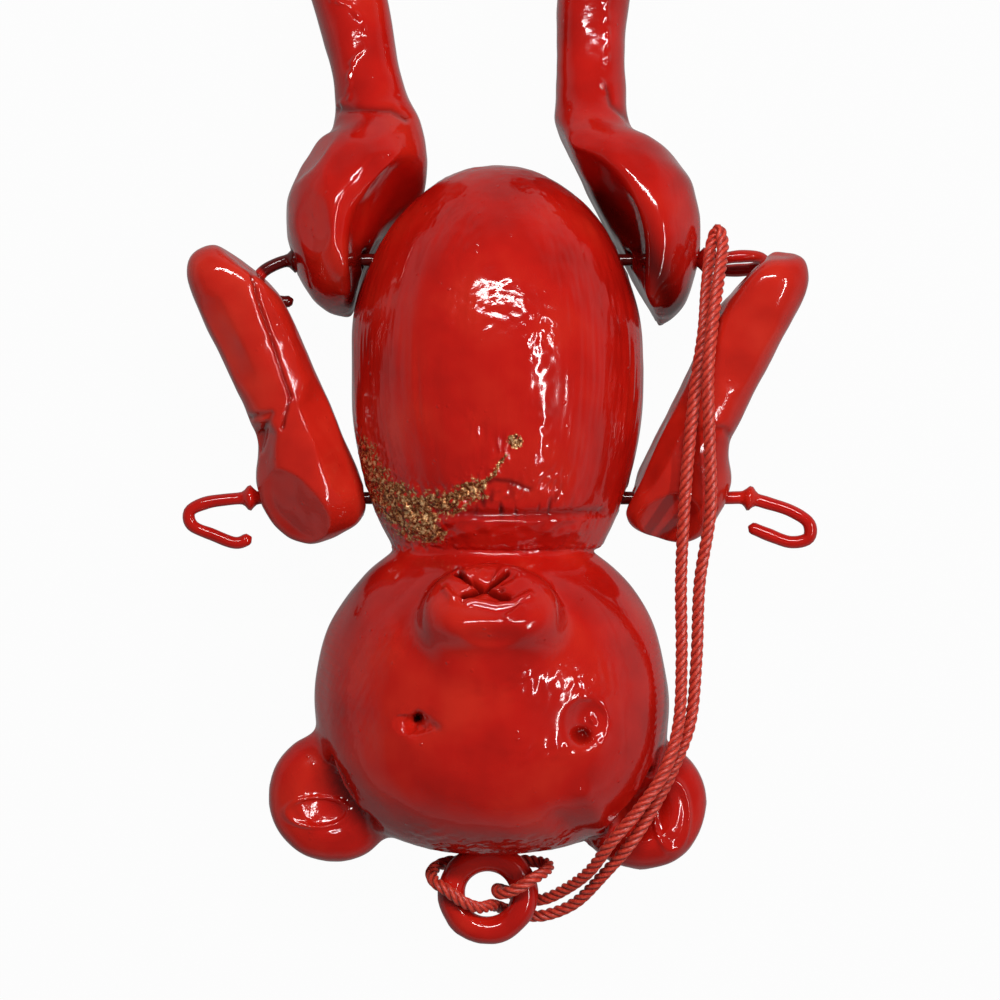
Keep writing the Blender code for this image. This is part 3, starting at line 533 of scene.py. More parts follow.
def over_gilt(tree, place, enamel):
    """The enamel, with the casting bare where the piece's bare share says so: rough gilt, whose
    grains catch the light one by one. Its colour is painted lighter on the grains and darker in the
    pits, painted glints and shade over the gilt's own brown."""
    bare = add_node(tree, "ShaderNodeAttribute", attribute_name="bare")
    pits = add_node(
        tree, "ShaderNodeTexNoise",
        {"Vector": place, "Scale": 1 / PIT_LENGTH, "Detail": 3.0, "Roughness": 0.55},
    )
    worn = add_node(
        tree, "ShaderNodeMapRange",
        {"Value": bare.outputs["Fac"], "From Min": 0.85, "From Max": 1.0,
         "To Min": 0.0, "To Max": 0.10},
    )
    tone = add_node(
        tree, "ShaderNodeMath", {0: pits.outputs["Fac"], 1: worn.outputs["Result"]}, operation="ADD",
    )
    # The gilt's colour follows the pits' height: painted shade in the pits and painted glints on the grains.
    gilt = ramp(
        tree, tone.outputs["Value"], [(0.42, GILT_DULL), (0.54, GILT_MIDDLE), (0.66, GILT_BRIGHT)],
    )
    pit_bump = add_node(
        tree, "ShaderNodeBump",
        {"Height": pits.outputs["Fac"], "Distance": PIT_DEPTH, "Strength": 1.0},
    )
    metal = add_node(
        tree, "ShaderNodeBsdfPrincipled",
        {"Base Color": gilt.outputs["Color"], "Metallic": 0.6, "Roughness": 0.22,
         "Normal": pit_bump.outputs["Normal"]},
    )
    ragged = add_node(
        tree, "ShaderNodeMath", {0: bare.outputs["Fac"], 1: pits.outputs["Fac"]}, operation="MULTIPLY",
    )
    share = add_node(
        tree, "ShaderNodeMapRange",
        {"Value": ragged.outputs["Value"], "From Min": 0.16, "From Max": 0.26},
    )
    return add_node(
        tree, "ShaderNodeMixShader",
        {"Fac": share.outputs["Result"], 1: enamel.outputs["BSDF"], 2: metal.outputs["BSDF"]},
    ).outputs["Shader"]


NECK_SEAM_Y = -18.88 * MM
NECK_FILLET = 1.6 * MM
NECK_BLEND = 0.8 * MM
BUBBLES_Y = NECK_SEAM_Y + 0.3 * MM
BUBBLES_WIDTH = 0.4 * MM

# Marks in the picture, in its points across and down: where the skin has to be finer, and then
# the lines and spots that the coat's faults follow, with their widths and some with a strength.
# How high or deep each is comes after them, in mm.
FINE_OVALS = [
    ((491, 597), 76, 50), ((315, 800), 52, 48), ((675, 812), 45, 55), ((418, 718), 34, 22),
    ((585, 722), 32, 32),
]
FINE_LINES = [([(355, 440), (375, 495), (440, 520), (515, 440)], 40), ([(400, 530), (600, 530)], 24)]
FRONT_MIDDLE = ((490, 640), 200, 260)
SMEARS = [
    ([(470, 498), (490, 470), (512, 442)], 9, 1.0), ([(470, 420), (500, 450)], 10, 1.0),
    ([(495, 495), (560, 480)], 13, 1.0),
]
BARE_PATCH = [
    ([(356, 452), (368, 476), (388, 500), (412, 522)], 20, 1.0),
    ([(388, 492), (420, 505), (452, 502), (474, 490)], 15, 0.92),
    ([(410, 514), (430, 530)], 16, 1.2),
    ([(470, 492), (490, 478), (508, 452)], 4, 0.7),
]
CHIP = ((515, 441), 7.5, 6.5, 30)
BROKEN_GLOSS = [([(462, 312), (500, 296), (540, 322)], 26, 1.0), ([(540, 330), (545, 470)], 14, 0.5)]
RIM = ([(604, 262), (622, 330), (628, 400), (622, 450)], 13)
FURROWS = ([(484, 502), (552, 502)], 13)
FOLD = ([(470, 494), (484, 484), (494, 480), (511, 482), (530, 490)], 2.5)
NECK_CREASE = ([(398, 512), (450, 514), (548, 514), (602, 512)], 4.5)
COLLAR_DOWN = ((515, 520.5), (528, 545))
COLLAR_ACROSS = ((385, 440), (560, 610))
STREAK_HEIGHT = 0.022
FINE_STREAK_HEIGHT = 0.012
TORSO_LUMP_HEIGHT = 0.07
GOUGE_DEPTH = 0.12
RIM_HEIGHT = 0.03
GLINT_SHARE = 0.6
CHIP_HEIGHT = 0.10
FURROW_DEPTH = 0.12
FOLD_DEPTH = 0.15
CREASE_DEPTH = 0.26
COLLAR_HEIGHT = 0.36
BUBBLE_HEIGHT = 0.05


def between(value, rise, fall):
    """0 outside two edges and 1 between them. Each edge is the pair of values it takes up."""
    return step_up(value, *rise) * (1 - step_up(value, *fall))


body = fine_casting(("torso", "head", "neck_stud"), "torso_and_head", grain=0.28 * MM)
places, facing, _ = shown(body)
at_neck = np.exp(-(((places[:, 1] - NECK_SEAM_Y) / NECK_FILLET) ** 2))
relax(body, rounds=100, share=at_neck * (0.12 + 0.88 * step_up(facing[:, 2], 0.2, 0.7)), give_back=False)
places, facing, seen = shown(body)
marked = np.zeros(len(places), bool)
for middle, wide, tall in FINE_OVALS:
    marked |= oval(seen, middle, wide, tall) < 1
for line, width in FINE_LINES:
    marked |= near_line(seen, line, width) > 0.3
refine(body, marked & (facing[:, 2] > 0.1))
_, _, seen = shown(body)
relax(body, rounds=5, share=near_spot(seen, *FRONT_MIDDLE))

places, facing, seen = shown(body)
across, down = seen
below_neck = step_up(places[:, 1], NECK_SEAM_Y - NECK_BLEND, NECK_SEAM_Y + NECK_BLEND)
front = step_up(facing[:, 2], 0.0, 0.3) * below_neck
streaky = step_up(ripple(places, 8 * MM, seed=10, stretch=(1, 2, 1)), -0.6, 0.8)
streaks = ripple(places, 2.6 * MM, seed=11, stretch=(1, 9, 1)) * STREAK_HEIGHT
fine_streaks = ripple(places, 1.0 * MM, seed=12, stretch=(1, 14, 1)) * FINE_STREAK_HEIGHT
streaks = streaks + streaky * fine_streaks
lumps = ripple(places, 9 * MM, seed=13, stretch=(1, 1.6, 1)) * TORSO_LUMP_HEIGHT
gouges = strokes(seen, SMEARS) * np.abs(ripple(places, 1.5 * MM, seed=14, stretch=(1, 2.2, 1)))
patch = np.max([strength * near_line(seen, line, width) for line, width, strength in BARE_PATCH], 0)
crags = ripple(places, 1.1 * MM, seed=15) * 0.10 + ripple(places, 0.55 * MM, seed=16) * 0.05
chip = near_spot(seen, *CHIP)
glints = ripple(places, 1.5 * MM, seed=19) * 0.035 + ripple(places, 0.9 * MM, seed=20) * 0.014
rim = near_line(seen, *RIM) * ripple(places, 1.1 * MM, seed=72, stretch=(1, 6, 1))
furrows = np.maximum(0, ripple(places, 1.1 * MM, seed=70, stretch=(1, 12, 1)))
furrows = furrows * near_line(seen, *FURROWS)
fold = near_line(seen, *FOLD)
crease = near_line(seen, *NECK_CREASE)
collar = between(down, *COLLAR_DOWN) * between(across, *COLLAR_ACROSS)
collar = collar * (1 + 0.25 * ripple(places, 2.2 * MM, seed=17))
bubbles = np.exp(-(((places[:, 1] - BUBBLES_Y) / BUBBLES_WIDTH) ** 2))
bubbles = bubbles * ripple(places, 1.1 * MM, seed=71)
height = below_neck * (streaks + lumps) + BUBBLE_HEIGHT * bubbles + front * (
    RIM_HEIGHT * rim + GLINT_SHARE * strokes(seen, BROKEN_GLOSS) * glints + patch * crags
    + CHIP_HEIGHT * chip + COLLAR_HEIGHT * collar - GOUGE_DEPTH * gouges
    - FURROW_DEPTH * furrows - FOLD_DEPTH * fold - CREASE_DEPTH * crease
)
raise_by(body, height * MM)
# The torso's furrows, fold and neck crease are painted darker, as painted shade.
torso_painted_shade = front * (0.6 * furrows + 0.6 * fold + 0.4 * crease)
bare = front * np.maximum(patch * (0.80 + 0.20 * ripple(places, 1.2 * MM, seed=18)), 1.3 * chip)

# The head is cast in one with its muzzle and ears, and is joined to the torso under the coat.
# Its eyes are two pits, one pinched and one scooped. The nose was crossed in with a tool
# before casting, and the wedge between two of its cuts was pressed in aslant.
EAR_JOINT = ([(314, 738), (335, 772), (352, 800), (368, 822), (386, 840)], 11)
MUZZLE_JOINT = ([(428, 594), (445, 574), (470, 565), (500, 562), (528, 568), (548, 584)], 8)
MUZZLE_FRONT = (492, 632)
MUZZLE_FACES = (0, -0.05, 1)
MUZZLE_BRIDGE = ((492, 652), 58, 21)
BRIDGE_DROP = (0, 0.5, -1.3)
RIGHT_SOCKET = ((580, 729), 46, 44)
SOCKET_SHIFT = (0.85, 1.0, 0)
INTO_NOSE = (0, -0.64, -0.77)
INTO_FACE = (0, 0, -1)
NOSE_CUTS = [
    ([(459, 572), (470, 580), (484, 588), (507, 599)], 2.6),
    ([(506, 573), (494, 582), (484, 588), (466, 595)], 2.6),
]
NOSE_CUT_ENDS = [((458, 572), 4, 3.2, 1.0), ((465, 595), 3.6, 2.6, 1.0), ((501, 589), 3, 2.4, 0.6)]
WEDGE_POINT = (482, 589)
WEDGE_TALL = 25
WEDGE_WIDE = 22
WEDGE_POINT_WIDE = 2
LIP = ([(446, 590), (452, 597), (463, 601), (477, 602), (497, 606), (512, 603), (530, 595)], 3.8)
LIP_CORNER = ([(521, 606), (507, 618)], 3.2)
LEFT_PIT = ((418, 718), 4.0, 4.4)
LEFT_PIT_TAIL = ([(418, 718), (436, 728)], 5)
FACET_START = (396, 734)
FACET_LENGTH = 26
FACET_TOP = (714, 716.5)
FACET_SIDE = (416, 420)
FACET_OVAL = ((406, 724), 13, 11)
RIGHT_PIT = ((582, 736), 8, 7, 20)
RIGHT_PIT_BEAD = ((592, 720), 3, 6, -25)
EAR_FOLD = ([(328, 764), (338, 776), (348, 798)], 7)
BROW_FOLD = ([(586, 795), (597, 812), (606, 830)], 11)
BROW_HOLLOW = ([(562, 822), (584, 842)], 12)
EAR_DISHES = [((318, 812), 31, 15), ((672, 815), 17, 34)]
EAR_RIM_WIDTH = 0.15
MUZZLE_FLAT_DEPTH = 0.4
MUZZLE_FLAT_REACH = 6
NOSE_CUT_DEPTH = 1.5
WEDGE_DEPTH = 1.3
LIP_HEIGHT = 0.42
LEFT_PIT_DEPTH = 2.4
RIGHT_PIT_DEPTH = 1.5
FACET_DEPTH = 0.6
EAR_FOLD_DEPTH = 0.35
EAR_RIM_HEIGHT = 0.26
EAR_DISH_DEPTH = 0.12
BROW_FOLD_HEIGHT = 0.45
BROW_HOLLOW_DEPTH = 0.40
HATCH_HEIGHT = 0.03
HATCH_PITCH = 0.95 * MM
HATCHES = [(0.6, [(330, 590), (326, 690)], 14), (-0.6, [(660, 620), (664, 730)], 10)]
GRITTY_LINES = [
    ([(420, 838), (470, 852), (560, 846)], 14, 1.0), ([(500, 690), (600, 676)], 20, 0.7),
    ([(520, 752), (560, 750)], 16, 0.7), ([(470, 690), (476, 745)], 12, 0.4),
]
GRITTY_SPOTS = [
    ((345, 700), 26, 50, 0.5), ((400, 640), 25, 22, 0.6), ((640, 800), 16, 22, 0.6),
    ((420, 718), 30, 16, 0.6), ((427, 728), 9, 5, 2.5), ((481, 574), 11, 8, 1.6),
]


def spots(seen, marks):
    """A number of spots in the picture, each with its two radii and strength, added together."""
    return sum(strength * near_spot(seen, spot, wide, tall) for spot, wide, tall, strength in marks)


_, _, seen = shown(body)
relax(body, rounds=70, share=near_line(seen, *EAR_JOINT), give_back=False)
relax(body, rounds=60, share=near_line(seen, *MUZZLE_JOINT), give_back=False)
cut_flat(body, MUZZLE_FRONT, MUZZLE_FLAT_DEPTH, MUZZLE_FLAT_REACH, MUZZLE_FACES)
_, facing, seen = shown(body)
push(body, near_spot(seen, *MUZZLE_BRIDGE) * (facing[:, 2] > 0), BRIDGE_DROP)
push(body, near_spot(seen, *RIGHT_SOCKET), SOCKET_SHIFT)

places, facing, seen = shown(body)
across, down = seen
above_neck = 1 - step_up(places[:, 1], NECK_SEAM_Y - NECK_BLEND, NECK_SEAM_Y + NECK_BLEND)
front = step_up(facing[:, 2], 0.0, 0.25) * above_neck
flanks = between(facing[:, 2], (0.1, 0.3), (0.5, 0.8)) * above_neck
lumps = ripple(places, 10 * MM, seed=21) * 0.07
lumps = lumps + ripple(places, 3 * MM, seed=22, stretch=(1, 2.5, 1)) * 0.010
hatch = 0
for slant, line, width in HATCHES:
    rows = (places[:, 1] + slant * places[:, 0]) / HATCH_PITCH
    hatch = hatch + np.sin(rows * math.tau) * near_line(seen, line, width)
cuts = np.max([near_line(seen, line, width) for line, width in NOSE_CUTS], 0)
cut_ends = spots(seen, NOSE_CUT_ENDS)
up_wedge = np.clip((WEDGE_POINT[1] - down) / WEDGE_TALL, 0, 1)
off_wedge = np.abs(across - WEDGE_POINT[0]) / (WEDGE_WIDE * up_wedge + WEDGE_POINT_WIDE)
wedge = (1 - up_wedge) * step_up(up_wedge, 0, 0.1) * (1 - step_up(off_wedge, 0.7, 1.0))
lip = np.maximum(near_line(seen, *LIP), 0.7 * near_line(seen, *LIP_CORNER))
pinch = near_spot(seen, *LEFT_PIT) + 0.12 * near_line(seen, *LEFT_PIT_TAIL)
slope = 0.8 * (across - FACET_START[0]) + 0.6 * (FACET_START[1] - down)
facet = np.clip(slope / FACET_LENGTH, 0, 1) * step_up(down, *FACET_TOP)
facet = facet * (1 - step_up(across, *FACET_SIDE)) * (1 - step_up(oval(seen, *FACET_OVAL), 0.85, 1.1))
scoop = 1.3 * near_spot(seen, *RIGHT_PIT) - 0.2 * near_spot(seen, *RIGHT_PIT_BEAD)
ear_fold = near_line(seen, *EAR_FOLD)
dishes = 0
for middle, wide, tall in EAR_DISHES:
    out = oval(seen, middle, wide, tall)
    dishes = dishes + EAR_RIM_HEIGHT * np.exp(-(((out - 1) / EAR_RIM_WIDTH) ** 2))
    dishes = dishes - EAR_DISH_DEPTH * (1 - step_up(out, 0.7, 1))
grit = ripple(places, 1.3 * MM, seed=23) * 0.035 + ripple(places, 0.7 * MM, seed=24) * 0.012
gritty = ear_fold + strokes(seen, GRITTY_LINES) + spots(seen, GRITTY_SPOTS)
height = above_neck * lumps + flanks * HATCH_HEIGHT * hatch + front * (
    LIP_HEIGHT * lip + dishes - EAR_FOLD_DEPTH * ear_fold + gritty * grit
    + BROW_FOLD_HEIGHT * near_line(seen, *BROW_FOLD)
    - BROW_HOLLOW_DEPTH * near_line(seen, *BROW_HOLLOW)
)
raise_by(body, height * MM)
push(body, front * (NOSE_CUT_DEPTH * cuts + WEDGE_DEPTH * wedge + cut_ends), INTO_NOSE)
pits = LEFT_PIT_DEPTH * pinch + FACET_DEPTH * facet + RIGHT_PIT_DEPTH * scoop
push(body, front * pits, INTO_FACE)
# The nose cuts and their ends, both eye pits and the ear fold are painted darker, as painted shade.
head_painted_shade = front * (0.75 * cuts + 0.8 * cut_ends + 0.8 * pinch + 0.5 * scoop + 0.35 * ear_fold)
set_share(body, "bare", bare)
set_share(body, "painted_shade", torso_painted_shade + head_painted_shade)
body.data.materials.append(poured_enamel("poured_enamel_on_gilt", bare=True))
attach(body, "bear_body")
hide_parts("torso", "head", "neck_stud")

# The hanging ring is a fat eye on a short stem, cast onto the crown and dipped with it in the
# same red enamel. The cord runs behind its stem, over both its sides and down through the eye.
ring = fine_casting(("hanging_ring",), "ring_casting", grain=0.2 * MM)
places, _ = skin_of(ring)
raise_by(ring, ripple(places, 5 * MM, seed=31) * 0.03 * MM)
ring.data.materials.append(poured_enamel("poured_enamel_ring", nibs=0.5))
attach(ring, "bear_body")
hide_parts("hanging_ring")

# Each arm is a tapered casting with a round paw, threaded on the shoulder wire. The enamel ran
# over a step at its shoulder. On the left one the mould's seam shows too, sunk along the
# forearm.
# The arms wear a lighter copy of the same enamel, painted light for the brighter light on them.
ARM_TONES = ("#B61C12", "#CC2417", "#D83322")
LIMB_SKIN = {"edge_rounds": 10, "fair_rounds": 120, "sharp": (24, 44)}
# Widths on the arms and legs are points of the picture, and heights and depths are mm.
ARM_SEAM_WIDTH = 1.8
ARM_SEAM_DEPTH = 0.26
ARM_STEP_WIDTH = 4
arm_seam = [(249, 262), (258, 300), (269, 330), (285, 382), (291, 396), (282, 428)]
arm_steps = {
    "left": [(250, 418), (270, 414), (264, 430), (258, 450)],
    "right": [(738, 446), (724, 428), (700, 430)],
}
arm_step_depths = {"left": 0.35, "right": 0.2}
# Each flat has its spot in the picture, its depth and reach in mm, and some the way they face.
arm_flats = {
    "left": [
        ((228, 340), 0.35, 7), ((272, 322), 0.20, 7), ((286, 372), 0.2, 5),
        ((330, 440), 0.70, 8), ((310, 506), 0.9, 9, (-0.42, -0.56, 0.71)), ((266, 460), 0.35, 5),
        ((262, 266), 1.4, 16, (0.62, 0.78, 0.08)),
    ],
    "right": [
        ((690, 380), 0.30, 7), ((748, 350), 0.22, 6), ((778, 256), 0.45, 5, (0.0, 0.97, 0.25)),
        ((737, 290), 0.05, 16, (-0.72, 0.69, 0.05)), ((664, 448), 0.60, 7),
        ((650, 520), 0.9, 7, (0.1, -0.75, 0.65)), ((700, 480), 0.35, 5),
    ],
}
# Along these lines the skin is smoothed again, and along leg_soft's on the legs.
arm_soft = {
    "left": [(226, 246), (250, 262), (276, 292)],
    "right": [(728, 298), (762, 266), (784, 257), (800, 272)],
}
for side in ("left", "right"):
    arm = fine_casting((side + "_arm",), side + "_arm_casting", grain=0.26 * MM, **LIMB_SKIN)
    for flat in arm_flats[side]:
        cut_flat(arm, *flat)
    _, _, seen = shown(arm)
    relax(arm, rounds=80, share=near_line(seen, arm_soft[side], 12), give_back=False)
    _, _, seen = shown(arm)
    refine(arm, np.maximum(near_line(seen, arm_seam, 8), near_line(seen, arm_steps[side], 10)) > 0.4)
    places, facing, seen = shown(arm)
    front = step_up(facing[:, 2], 0.0, 0.3)
    height = ripple(places, 7 * MM, seed=41) * 0.06 + ripple(places, 2.4 * MM, seed=42) * 0.012
    seam = near_line(seen, arm_seam, ARM_SEAM_WIDTH)
    height = height + front * (
        -ARM_SEAM_DEPTH * seam * (1 + 0.4 * ripple(places, 1.6 * MM, seed=43))
        - arm_step_depths[side] * near_line(seen, arm_steps[side], ARM_STEP_WIDTH)
    )
    raise_by(arm, height * MM)
    # The forearm seam and the shoulder steps are painted darker, as painted shade.
    set_share(arm, "painted_shade", front * (0.5 * seam + 0.35 * near_line(seen, arm_steps[side], 3)))
    arm.data.materials.append(poured_enamel(side + "_arm_enamel", nibs=0.7, tones=ARM_TONES))
    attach(arm, side + "_arm")
    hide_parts(side + "_arm")

# Each leg is a casting with a heavy thigh, pressed flat in places, and a thin shank with a seam
# down its front. It turns on the hip wire. The right one swings up beside the cord's fold, and
# its outer side keeps clear of that.
BESIDE_CORD = 24.0 * MM
LEG_SEAM_WIDTH = 2.6
LEG_SEAM_RISE = 0.16
LEG_CREASE_WIDTH = 4
LEG_CREASE_DEPTH = 0.30
LEG_SHADE_WIDTH = 20
leg_seams = {
    "left": [(332, 0), (351, 6), (364, 25), (365, 46), (351, 65), (348, 98), (338, 106)],
    "right": [(607, 0), (607, 58), (600, 74), (606, 92)],
}
leg_creases = {
    "left": [(334, 110), (360, 108), (391, 109), (407, 118)],
    "right": [(608, 88), (612, 104), (630, 119), (644, 126)],
}
leg_flats = {
    "left": [
        ((312, 150), 0.55, 6), ((346, 165), 0.45, 5), ((352, 200), 0.85, 24, (0.50, -0.05, 0.86)),
        ((312, 225), 0.55, 6), ((375, 128), 0.2, 4),
    ],
    "right": [
        ((640, 165), 0.30, 6), ((648, 225), 0.9, 10, (-0.45, -0.12, 0.88)), ((585, 140), 0.25, 5),
    ],
}
leg_shades = {
    "left": [(366, 262), (360, 292)],
    "right": [(600, 200), (634, 238), (660, 276), (670, 308)],
}
leg_soft = {"left": [(355, 185), (352, 250)], "right": [(600, 155), (650, 195), (662, 285)]}
LEFT_THIGH_CORNER = ((318, 128), 17, 20)
CORNER_SHIFT = (-1.3, 0.5, 0)
for side in ("left", "right"):
    leg = fine_casting((side + "_leg",), side + "_leg_casting", grain=0.3 * MM, **LIMB_SKIN)
    for flat in leg_flats[side]:
        cut_flat(leg, *flat)
    _, _, seen = shown(leg)
    if side == "left":
        push(leg, near_spot(seen, *LEFT_THIGH_CORNER), CORNER_SHIFT)
    relax(leg, rounds=60, share=near_line(seen, leg_soft[side], 11), give_back=False)
    _, _, seen = shown(leg)
    marked = np.maximum(near_line(seen, leg_seams[side], 9), near_line(seen, leg_creases[side], 9))
    refine(leg, marked > 0.4)
    places, facing, seen = shown(leg)
    front = step_up(facing[:, 2], 0.0, 0.3)
    height = ripple(places, 8 * MM, seed=51) * 0.07 + ripple(places, 2.6 * MM, seed=52) * 0.012
    seam = near_line(seen, leg_seams[side], LEG_SEAM_WIDTH)
    height = height + front * (
        LEG_SEAM_RISE * seam * (1 + 0.5 * ripple(places, 1.8 * MM, seed=53))
        - LEG_CREASE_DEPTH * near_line(seen, leg_creases[side], LEG_CREASE_WIDTH)
    )
    raise_by(leg, height * MM)
    places, _ = skin_of(leg)
    push(leg, np.minimum(0, BESIDE_CORD - places[:, 0]) / MM, (1, 0, 0))
    # The thighs' hollows next to the torso and the knee creases are painted darker, as painted shade.
    shade = 0.9 * near_line(seen, leg_shades[side], LEG_SHADE_WIDTH)
    set_share(leg, "painted_shade", shade + 0.5 * near_line(seen, leg_creases[side], 3))
    leg.data.materials.append(poured_enamel(side + "_leg_enamel", nibs=0.9))
    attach(leg, side + "_leg")
    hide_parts(side + "_leg")

# The two wires run through the torso as the limbs' axles, and end in hairpin loops bent by
# hand. They were dipped with the rest, and the enamel has run into small beads along them.
WIRE_RADIUS = 0.75 * MM
WIRE_STEP = 0.35 * MM
WIRE_SIDES = 20
BEAD_LENGTH = 3 * MM
# Both rises are shares of the wire's radius.
BEAD_RISE = 0.025
KNUCKLE_RISE = 1.1
WIRE_SHADE = 0.9
# In mm: the axles' height and places along the body, the knuckles of enamel outside the limbs,
# and where the wires lie in the limbs' shade, which is between the two limbs and on a stretch
# of the left hip loop.
AXLE_HEIGHT = 16.5
KNUCKLE_WIDTH = 0.55
ON_AXLE = 1.6
HIP_LOOP_SHADED = (-28.5, -24.5)
wire_axles = {"shoulder_wire": -12.0, "hip_wire": 16.6}
wire_knuckles = {"shoulder_wire": 30.0, "hip_wire": 24.6}
wire_shaded = {"shoulder_wire": 19.5, "hip_wire": 20.0}
# In mm too, each end's bends: out from the body's middle, and along the body and up from the
# axle.
wire_loops = {
    "shoulder_wire": (
        [(22.0, 0.0, 0.0), (27.0, 0.0, 0.0), (30.0, 0.0, 0.0), (32.6, -0.2, 0.0), (35.0, -0.6, 0.1),
         (36.9, -1.6, 0.1), (36.6, -3.3, 0.0), (34.2, -4.4, -0.2), (31.4, -5.4, -0.4),
         (29.5, -4.7, -0.4)],
        [(22.0, 0.0, 0.0), (27.0, 0.0, 0.0), (30.0, 0.0, 0.0), (32.8, -0.7, 0.1), (35.4, -1.6, 0.2),
         (37.4, -3.0, 0.3), (37.4, -4.8, 0.1), (35.3, -5.3, -0.2), (32.6, -4.4, -0.3),
         (30.2, -3.4, -0.3)],
    ),
    "hip_wire": (
        [(18.0, 0.0, 0.0), (21.5, 0.0, 0.0), (24.0, 0.0, 0.0), (26.0, -0.3, 0.0), (28.2, -1.5, 0.0),
         (28.9, -3.2, -0.2), (27.4, -4.6, -0.4), (25.6, -5.0, -0.6), (24.5, -4.7, -0.7)],
        [(18.0, 0.0, 0.0), (23.0, 0.0, 0.0), (26.0, 0.0, 0.0), (28.8, 0.4, 0.0), (31.2, 0.4, -0.4),
         (32.2, -0.2, -2.0), (31.2, -0.8, -3.6), (28.8, -1.0, -4.2), (26.4, -1.0, -4.0)],
    ),
}


def dipped_wire(node, line, marks):
    """A round wire with uneven enamel, a knuckle of it outside each limb, and rounded ends."""
    beads = ripple(line, BEAD_LENGTH, seed=61) * BEAD_RISE
    around = np.arange(WIRE_SIDES) / WIRE_SIDES * math.tau
    circle = np.stack([np.cos(around), np.sin(around)], 1)

    def section(place):
        from_end = min(marks[place], marks[-1] - marks[place]) / WIRE_RADIUS
        rounding = math.sqrt(max(0.02, 1 - max(0.0, 1 - from_end) ** 2))
        x, y, _ = line[place] / MM
        knuckle = math.exp(-(((abs(x) - wire_knuckles[node]) / KNUCKLE_WIDTH) ** 2))
        knuckle = knuckle * (abs(y - wire_axles[node]) < ON_AXLE)
        return circle * WIRE_RADIUS * rounding * (1 + beads[place] + KNUCKLE_RISE * knuckle)

    return tube(node + "_dipped", line, section)


wire_enamel = poured_enamel("dipped_enamel_on_wire", nibs=0.4)
for node, (left_loop, right_loop) in wire_loops.items():
    bends = [(-x, y, z) for x, y, z in reversed(left_loop)] + right_loop
    knots = [np.array((x, y + wire_axles[node], z + AXLE_HEIGHT)) * MM + MODEL_SHIFT for x, y, z in bends]
    wire_line, wire_marks = even_line(knots, WIRE_STEP)
    wire = dipped_wire(node, wire_line, wire_marks)
    x = wire_line[:, 0] / MM
    shaded = np.abs(x) < wire_shaded[node]
    if node == "hip_wire":
        shaded |= (x > HIP_LOOP_SHADED[0]) & (x < HIP_LOOP_SHADED[1])
    # These shaded stretches are painted darker, as painted shade.
    set_share(wire, "painted_shade", np.repeat(WIRE_SHADE * shaded, WIRE_SIDES))
    wire.data.materials.append(wire_enamel)
    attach(wire, "bear_body")
    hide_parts(node)

# The bear lies on a white table in a white room. A wide window beyond its feet and a narrow one
# off its right side light it from above, and the ceiling over it is dark.
TABLE_HALF = 1.5
TABLE_TOP = -0.3 * MM
TABLE_WHITE = 0.97
MIRRORED_TABLE = 0.2
MIRRORED_ROOM = 0.06
ROOM_WALLS = 0.40
ROOM_CEILING = 0.05
TABLE_GREY = "#898989"
WHITE = "#FFFFFF"
corners = [(x * TABLE_HALF, y * TABLE_HALF, TABLE_TOP) for x, y in ((-1, -1), (1, -1), (1, 1), (-1, 1))]
table_mesh = bpy.data.meshes.new("table_top")
table_mesh.from_pydata(corners, [], [(0, 1, 2, 3)])
table = bpy.data.objects.new("table_top", table_mesh)
bpy.context.scene.collection.objects.link(table)


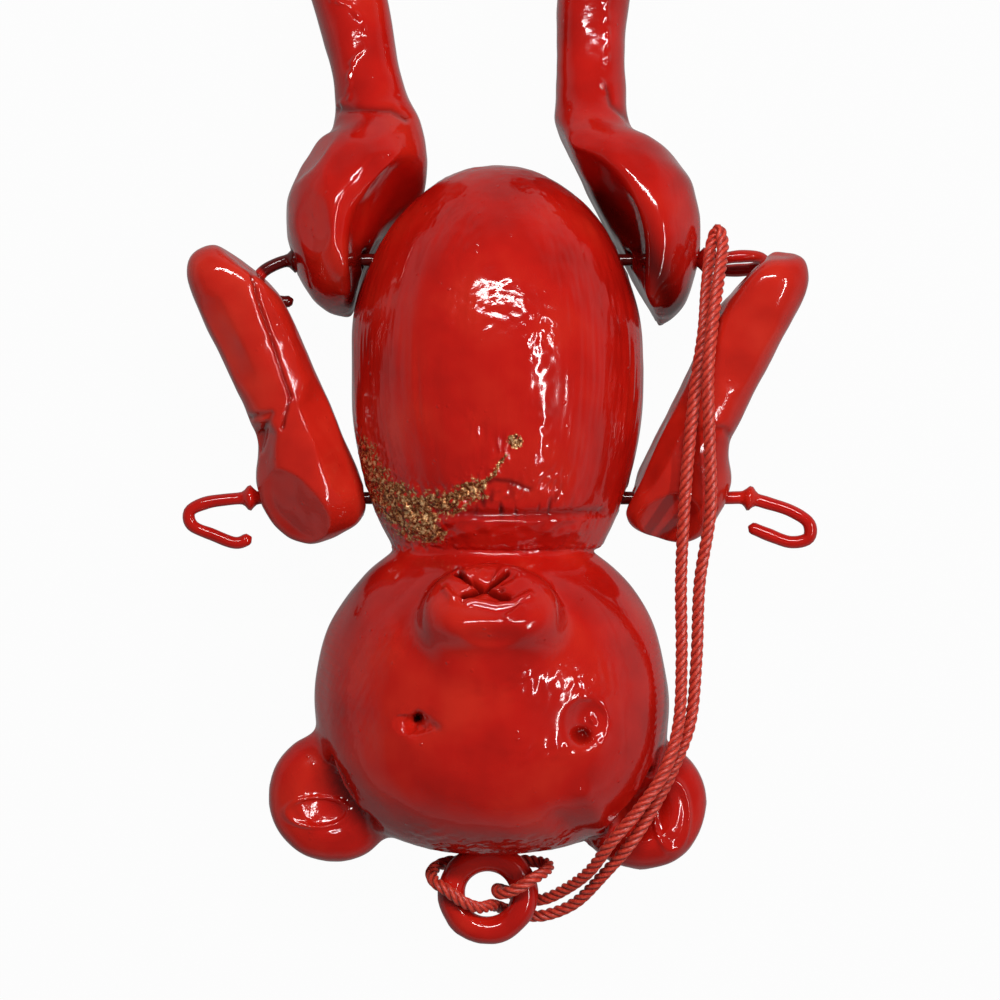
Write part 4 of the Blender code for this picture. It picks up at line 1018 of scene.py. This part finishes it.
def white_share(tree, straight, mirrored):
    """How white the background is, as the camera sees it straight and as shiny things mirror it."""
    path = add_node(tree, "ShaderNodeLightPath")
    shiny = add_node(
        tree, "ShaderNodeMath", {0: path.outputs["Is Glossy Ray"], 1: path.outputs["Is Transmission Ray"]},
        operation="MAXIMUM",
    )
    shiny = add_node(tree, "ShaderNodeMath", {0: shiny.outputs["Value"], 1: mirrored}, operation="MULTIPLY")
    direct = add_node(
        tree, "ShaderNodeMath", {0: path.outputs["Is Camera Ray"], 1: straight}, operation="MULTIPLY",
    )
    return add_node(
        tree, "ShaderNodeMath", {0: shiny.outputs["Value"], 1: direct.outputs["Value"]}, operation="MAXIMUM",
    ).outputs["Value"]


# Matt laminate. The camera sees it as plain white, and it throws only a little light back up.
material, tree = new_material("white_table_laminate")
matt = add_node(tree, "ShaderNodeBsdfDiffuse", {"Color": srgb(TABLE_GREY)})
white = add_node(tree, "ShaderNodeEmission", {"Color": srgb(WHITE), "Strength": 1.0})
share = white_share(tree, TABLE_WHITE, MIRRORED_TABLE)
mixed = add_node(
    tree, "ShaderNodeMixShader", {"Fac": share, 1: matt.outputs["BSDF"], 2: white.outputs["Emission"]},
)
add_node(tree, "ShaderNodeOutputMaterial", {"Surface": mixed.outputs["Shader"]})
table_mesh.materials.append(material)

world = bpy.data.worlds.new("white_room")
bpy.context.scene.world = world
world.use_nodes = True
tree = world.node_tree
tree.nodes.clear()
heading = add_node(tree, "ShaderNodeTexCoord")
parts = add_node(tree, "ShaderNodeSeparateXYZ", {"Vector": heading.outputs["Generated"]})
dim = add_node(
    tree, "ShaderNodeMapRange",
    {"Value": parts.outputs["Z"], "From Min": 0.02, "From Max": 0.45,
     "To Min": ROOM_WALLS, "To Max": ROOM_CEILING},
)
share = white_share(tree, 1.0, MIRRORED_ROOM)
level = add_node(tree, "ShaderNodeMix", {"Factor": share, "A": dim.outputs["Result"], "B": 1.0})
back = add_node(
    tree, "ShaderNodeBackground", {"Color": srgb(WHITE), "Strength": level.outputs["Result"]},
)
add_node(tree, "ShaderNodeOutputWorld", {"Surface": back.outputs["Background"]})

WINDOW_HEIGHT = 0.5
windows = [
    ("window_far", (0.02, 0.25), (0.36, 0.05), 2.3),
    ("window_side", (0.363, -0.06), (0.03, 0.36), 1.6),
]
for name, (x, y), (wide, deep), watts in windows:
    lamp = bpy.data.lights.new(name, "AREA")
    lamp.shape = "RECTANGLE"
    lamp.size = wide
    lamp.size_y = deep
    lamp.energy = watts
    window = bpy.data.objects.new(name, lamp)
    window.location = (x, y, WINDOW_HEIGHT)
    bpy.context.scene.collection.objects.link(window)

bpy.context.scene.view_settings.view_transform = "Standard"
